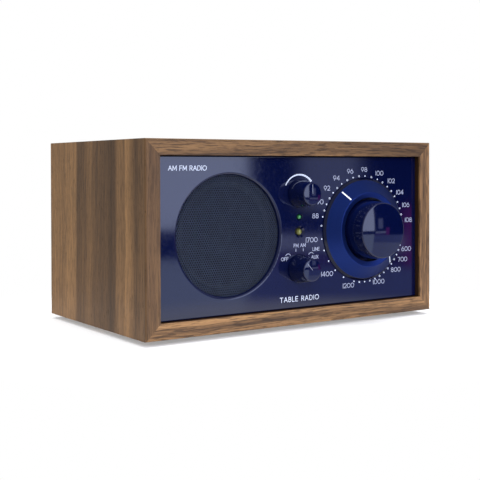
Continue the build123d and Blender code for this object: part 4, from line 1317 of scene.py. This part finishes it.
@dataclass
class Suspension:
    """The loudspeaker's rubber surround, in sectors that each stretch from the cone's rim to the basket.

    Radii and depths are in millimetres, and depth 0 is the front of the CAD's surround.
    """

    lip: float = 28.9
    held: float = 30.8
    roll_middle: float = 33.5
    roll: float = 2.5
    edge: float = 40.3
    thickness: float = 0.5
    sectors: int = 16
    steps: int = 8

    def outlines(self) -> np.ndarray:
        """Front and back outlines of the section as rows of (radius, depth) behind the lip's front.

        Each goes along the lip, over a half roll of points (middle - R cos a, R sin a), and along the flange; the
        back outline's roll has the thickness added to R and begins at the lip's back.
        """
        rows = []
        for offset in (0.0, self.thickness):
            radius = self.roll + offset
            start = math.asin(offset / radius)
            a = np.linspace(start, math.pi - start, 17)
            arc = np.stack([self.roll_middle - radius * np.cos(a), radius * np.sin(a)], axis=1)
            rows.append(np.concatenate([[(self.lip, offset), (self.held - 0.6, offset)], arc, [(self.edge, offset)]]))
        return np.array(rows)

    def sector(self, first: float, last: float, centre: Place, front: float) -> Surface:
        """Carry the section round from one angle to another, and close both ends."""
        outlines = self.outlines()
        loop = np.concatenate([outlines[0], outlines[1][::-1]]) * MM
        count = len(loop)
        points = swept(centre, front, *loop.T, np.linspace(first, last, self.steps + 1)[:, None])
        number = np.arange((self.steps + 1) * count).reshape(-1, count)
        k = np.arange(count // 2 - 1)
        cap = np.stack([k, k + 1, count - 2 - k, count - 1 - k], axis=1)
        return Surface(points.reshape(-1, 3), np.concatenate([bands(number), number[0][cap], number[-1][cap]]))

    def build(self) -> None:
        """Make the sectors, each set in the scene in place of the CAD's surround, which is hidden."""
        butyl = Moulding("surround_butyl", (0.006, 0.006, 0.007), 0.7, 3000.0, 0.00002, 0.1).material()
        x, z = centre_of("driver_surround")
        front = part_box("driver_surround")[0].y
        bounds = np.linspace(0.0, 2 * math.pi, self.sectors + 1)
        for number, (first, last) in enumerate(zip(bounds[:-1], bounds[1:]), start=1):
            mesh = self.sector(first, last, (x, z), front).mesh(f"surround_sector_{number:02d}")
            piece = hang(mesh, butyl)
            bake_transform(piece)
            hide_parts("driver_surround")
            log.info("%s between speaker_cone and cabinet: %d faces", mesh.name, len(mesh.polygons))


@dataclass
class Works:
    """The loudspeaker, the gears, the controls and the boards inside the cabinet."""

    def build(self) -> None:
        """Give every inner node its finish."""
        zinc = Metal("zinc_plate", (0.60, 0.60, 0.61), 0.28).material()
        copper = Metal("enamelled_copper", (0.62, 0.24, 0.09), 0.32, 0.9, (40.0, 40.0, 2600.0)).material()
        finishes = {
            Moulding("basket_paint", (0.028, 0.028, 0.030), 0.45, 2600.0): ("driver_basket",),
            Moulding("gasket_foam", (0.025, 0.025, 0.026), 0.9, 1600.0, 0.0001): ("driver_gasket",),
            Weave("spider_cloth", (0.50, 0.33, 0.13)): ("driver_spider",),
            Moulding("cone_pulp", (0.006, 0.0065, 0.008), 0.9, 1500.0, 0.00008): ("driver_cone", "driver_dust_cap"),
            Moulding("ferrite", (0.045, 0.045, 0.050), 0.55, 1200.0): ("driver_magnet", "ferrite_rod_antenna"),
            Moulding("natural_acetal", (0.72, 0.71, 0.66), 0.42, 4200.0, 0.000008, 0.05): (
                "planet_carrier", "carrier_back_plate", "planet_gear_1", "planet_gear_2", "planet_gear_3",
                "ring_gear_housing", "gear_housing_cover"),
            Metal("capacitor_plate", (0.64, 0.64, 0.65), 0.22): ("tuning_capacitor_case", "tuning_capacitor_rotor"),
            Metal("control_can", (0.54, 0.54, 0.55), 0.35): ("volume_control_body", "source_switch_body"),
            CircuitBoard("solder_resist"): ("control_board", "main_board"),
            Moulding("capacitor_sleeve", (0.018, 0.020, 0.050), 0.25, 900.0): ("board_capacitors",),
            Metal("black_anodised", (0.040, 0.040, 0.042), 0.5, 0.8): ("amplifier_heat_sink",),
            Moulding("coil_former", (0.020, 0.020, 0.021), 0.5, 2600.0): ("ferrite_rod_coil",),
            Moulding("lead_sheath", (0.38, 0.018, 0.016), 0.35, 3000.0): ("speaker_leads",),
            Metal("core_steel", (0.42, 0.43, 0.45), 0.4, 0.95, (40.0, 2400.0, 40.0)): ("transformer_core",),
        }
        for finish, nodes in finishes.items():
            made = finish.material()
            for node in nodes:
                dress(node, made)
        for node in ("control_nuts", "driver_front_plate", "driver_yoke", "tuning_shaft", "volume_control_shaft",
                     "source_switch_shaft", "driver_screws", "front_panel_screws", "tuner_shield"):
            dress(node, zinc)
        for node in ("driver_voice_coil", "transformer_winding"):
            dress(node, copper)


# ------------------------------------------------------------------ studio
@dataclass(frozen=True)
class Card:
    """A far-off card that glows or stays dark, in degrees: bearing from straight in front, and height."""

    left: float
    right: float
    low: float
    high: float
    glow: Colour
    soft_side: float = 0.5
    soft_edge: float = 0.12


STUDIO_CARDS = (
    Card(18.0, 62.0, -24.0, 16.0, (0.0, 0.0, 0.0), 3.0, 3.0),
    Card(4.0, 33.6, -3.65, 34.0, (2.70, 3.05, 4.30), 0.45, 0.10),
    Card(4.0, 33.6, -24.0, -5.38, (1.20, 1.42, 1.95), 0.45, 0.06),
    Card(33.6, 62.0, -24.0, -5.80, (0.36, 0.42, 0.86), 0.45, 0.12),
    Card(36.6, 40.2, -2.60, 2.4, (0.72, 0.82, 1.30), 0.7, 0.5),
    Card(34.4, 42.9, -4.95, -3.95, (1.05, 1.15, 1.75), 0.4, 0.20),
    Card(34.0, 42.0, -5.75, -5.10, (0.24, 0.12, 0.42), 0.5, 0.15),
    Card(42.7, 45.6, -5.75, -2.25, (0.62, 0.05, 0.46), 0.35, 0.20),
    Card(33.6, 62.0, -24.0, -9.40, (0.72, 0.80, 1.18), 0.45, 0.30),
)


@dataclass(frozen=True)
class Lamp:
    """A soft square light: its place, the length of its side and its power."""

    name: str
    place: tuple[float, float, float]
    size: float
    watts: float


STUDIO_LAMPS = (
    Lamp("key_light", (-0.8, -1.5, 1.0), 0.9, 24.0),
    Lamp("side_light", (-1.7, 0.1, 0.7), 0.9, 5.0),
    Lamp("top_light", (0.2, 0.0, 1.7), 1.4, 40.0),
)


@dataclass
class Studio:
    """Pale floor, soft lights and the camera."""

    camera_place: tuple[float, float, float] = (-0.34984, -0.52625, 0.09784)
    yaw: float = 34.920
    pitch: float = -0.578
    roll: float = -0.163
    lens: float = 72.369
    shift: tuple[float, float] = (-0.0645, -0.1299)
    floor_whole: float = 0.13
    floor_end: float = 0.22
    floor_reach: float = 0.6
    aim: tuple[float, float, float] = (0.0, 0.0, 0.06)
    ambient: Colour = (0.55, 0.57, 0.60)

    def camera(self) -> None:
        """Look right of straight back by yaw and up by pitch, then lean by roll about the line of sight."""
        data = bpy.data.cameras.new("camera")
        data.sensor_width, data.lens = 36.0, self.lens
        data.shift_x, data.shift_y = self.shift
        data.clip_start, data.clip_end = 0.01, 50.0
        yaw, pitch, roll = (math.radians(a) for a in (self.yaw, self.pitch, self.roll))
        ahead_flat = Vector((math.sin(yaw), math.cos(yaw), 0.0))
        right_flat = Vector((math.cos(yaw), -math.sin(yaw), 0.0))
        ahead = ahead_flat * math.cos(pitch) + Vector((0, 0, math.sin(pitch)))
        up_flat = Vector((0, 0, math.cos(pitch))) - ahead_flat * math.sin(pitch)
        right = right_flat * math.cos(roll) + up_flat * math.sin(roll)
        up = up_flat * math.cos(roll) - right_flat * math.sin(roll)
        holder = bpy.data.objects.new("camera", data)
        bpy.context.scene.collection.objects.link(holder)
        turn = Matrix((right, up, -ahead)).transposed().to_4x4()
        holder.matrix_world = Matrix.Translation(self.camera_place) @ turn
        bpy.context.scene.camera = holder

    def floor(self) -> None:
        """A flat pale sheet that thins out to nothing away from the radio."""
        corners = np.array([(-1, -1), (1, -1), (1, 1), (-1, 1)]) * self.floor_reach
        mesh = Surface(np.insert(corners, 2, 0.0, axis=1), np.array([[0, 1, 2, 3]])).mesh("floor")
        if mesh.polygons[0].normal.z < 0:
            mesh.flip_normals()
        material, g = start_material("floor_paper")
        x, y, _ = g.position()
        solid = distance(x, y).ramp(self.floor_whole, self.floor_end, 0.7, 0.0)
        fibre = g.noise(g.vector(x, y, 0.0), 700.0, 2.0)
        colour = fibre.ramp(0.3, 0.7).blend((0.93, 0.93, 0.94), (0.96, 0.96, 0.97))
        close_material(g, Base_Color=colour, Roughness=0.8, Alpha=solid, Normal=g.bump(fibre, 0.00001, 0.3))
        floor = hang(mesh, material)

    def light(self, lamp: Lamp) -> None:
        """Aim a lamp at the radio, and keep it out of sight and out of the reflections."""
        data = bpy.data.lights.new(lamp.name, "AREA")
        data.shape, data.size = "SQUARE", lamp.size
        data.energy = lamp.watts
        light = bpy.data.objects.new(lamp.name, data)
        turn = (Vector(self.aim) - Vector(lamp.place)).to_track_quat("-Z", "Y")
        light.matrix_world = Matrix.Translation(lamp.place) @ turn.to_matrix().to_4x4()
        light.visible_camera = False
        light.visible_glossy = False
        bpy.context.scene.collection.objects.link(light)

    def world(self) -> None:
        """White to the eye. As a source of light it is grey, with the cards laid over it one after another.

        A direction's bearing is atan2(x, -y), its height is asin(z), and a card covers it where both lie inside
        the card's edges, which are soft.
        """
        world = bpy.data.worlds.new("studio_world")
        world.use_nodes = True
        bpy.context.scene.world = world
        g = Graph(world.node_tree)
        x, y, z = g.parts(g.add("ShaderNodeTexCoord", out="Generated"))
        bearing = x.math("ARCTAN2", y * -1.0) * math.degrees(1.0)
        height = z.math("ARCSINE") * math.degrees(1.0)
        glow = z.ramp(-0.2, 0.9).blend(shade(self.ambient, 0.85), self.ambient)
        for card in STUDIO_CARDS:
            side, edge = card.soft_side, card.soft_edge
            cover = (bearing.ramp(card.left - side, card.left + side)
                     * bearing.ramp(card.right - side, card.right + side, 1.0, 0.0)
                     * height.ramp(card.low - edge, card.low + edge)
                     * height.ramp(card.high - edge, card.high + edge, 1.0, 0.0))
            glow = cover.blend(glow, card.glow)
        seen = g.add("ShaderNodeLightPath", out="Is Camera Ray")
        background = g.add("ShaderNodeBackground", sockets={"Color": seen.blend(glow, (1.0, 1.0, 1.0))})
        g.add("ShaderNodeOutputWorld", sockets={"Surface": background})

    def build(self) -> None:
        """Set up the stage."""
        self.camera()
        self.floor()
        self.world()
        for lamp in STUDIO_LAMPS:
            self.light(lamp)
        bpy.context.scene.view_settings.view_transform = "Standard"


def main() -> None:
    """Build the radio's sub-assemblies in order."""
    logging.basicConfig(level=logging.INFO, format="%(name)s: %(message)s")
    Studio().build()
    for part in (
        Cabinet(),
        Fascia(),
        Grille(),
        Tuner(),
        SmallKnob("volume_knob", "volume_control", 0.0),
        SmallKnob("source_knob", "source_selector", -42.0),
        Light("power_led", (0.003, 0.055, 0.010), (0.03, 0.26, 0.05), "green_lens"),
        Light("tuning_led", (0.034, 0.034, 0.001), (0.150, 0.150, 0.006), "amber_lens"),
        Rear(),
        Works(),
        Suspension(),
    ):
        part.build()


if __name__ == "__main__":
    main()
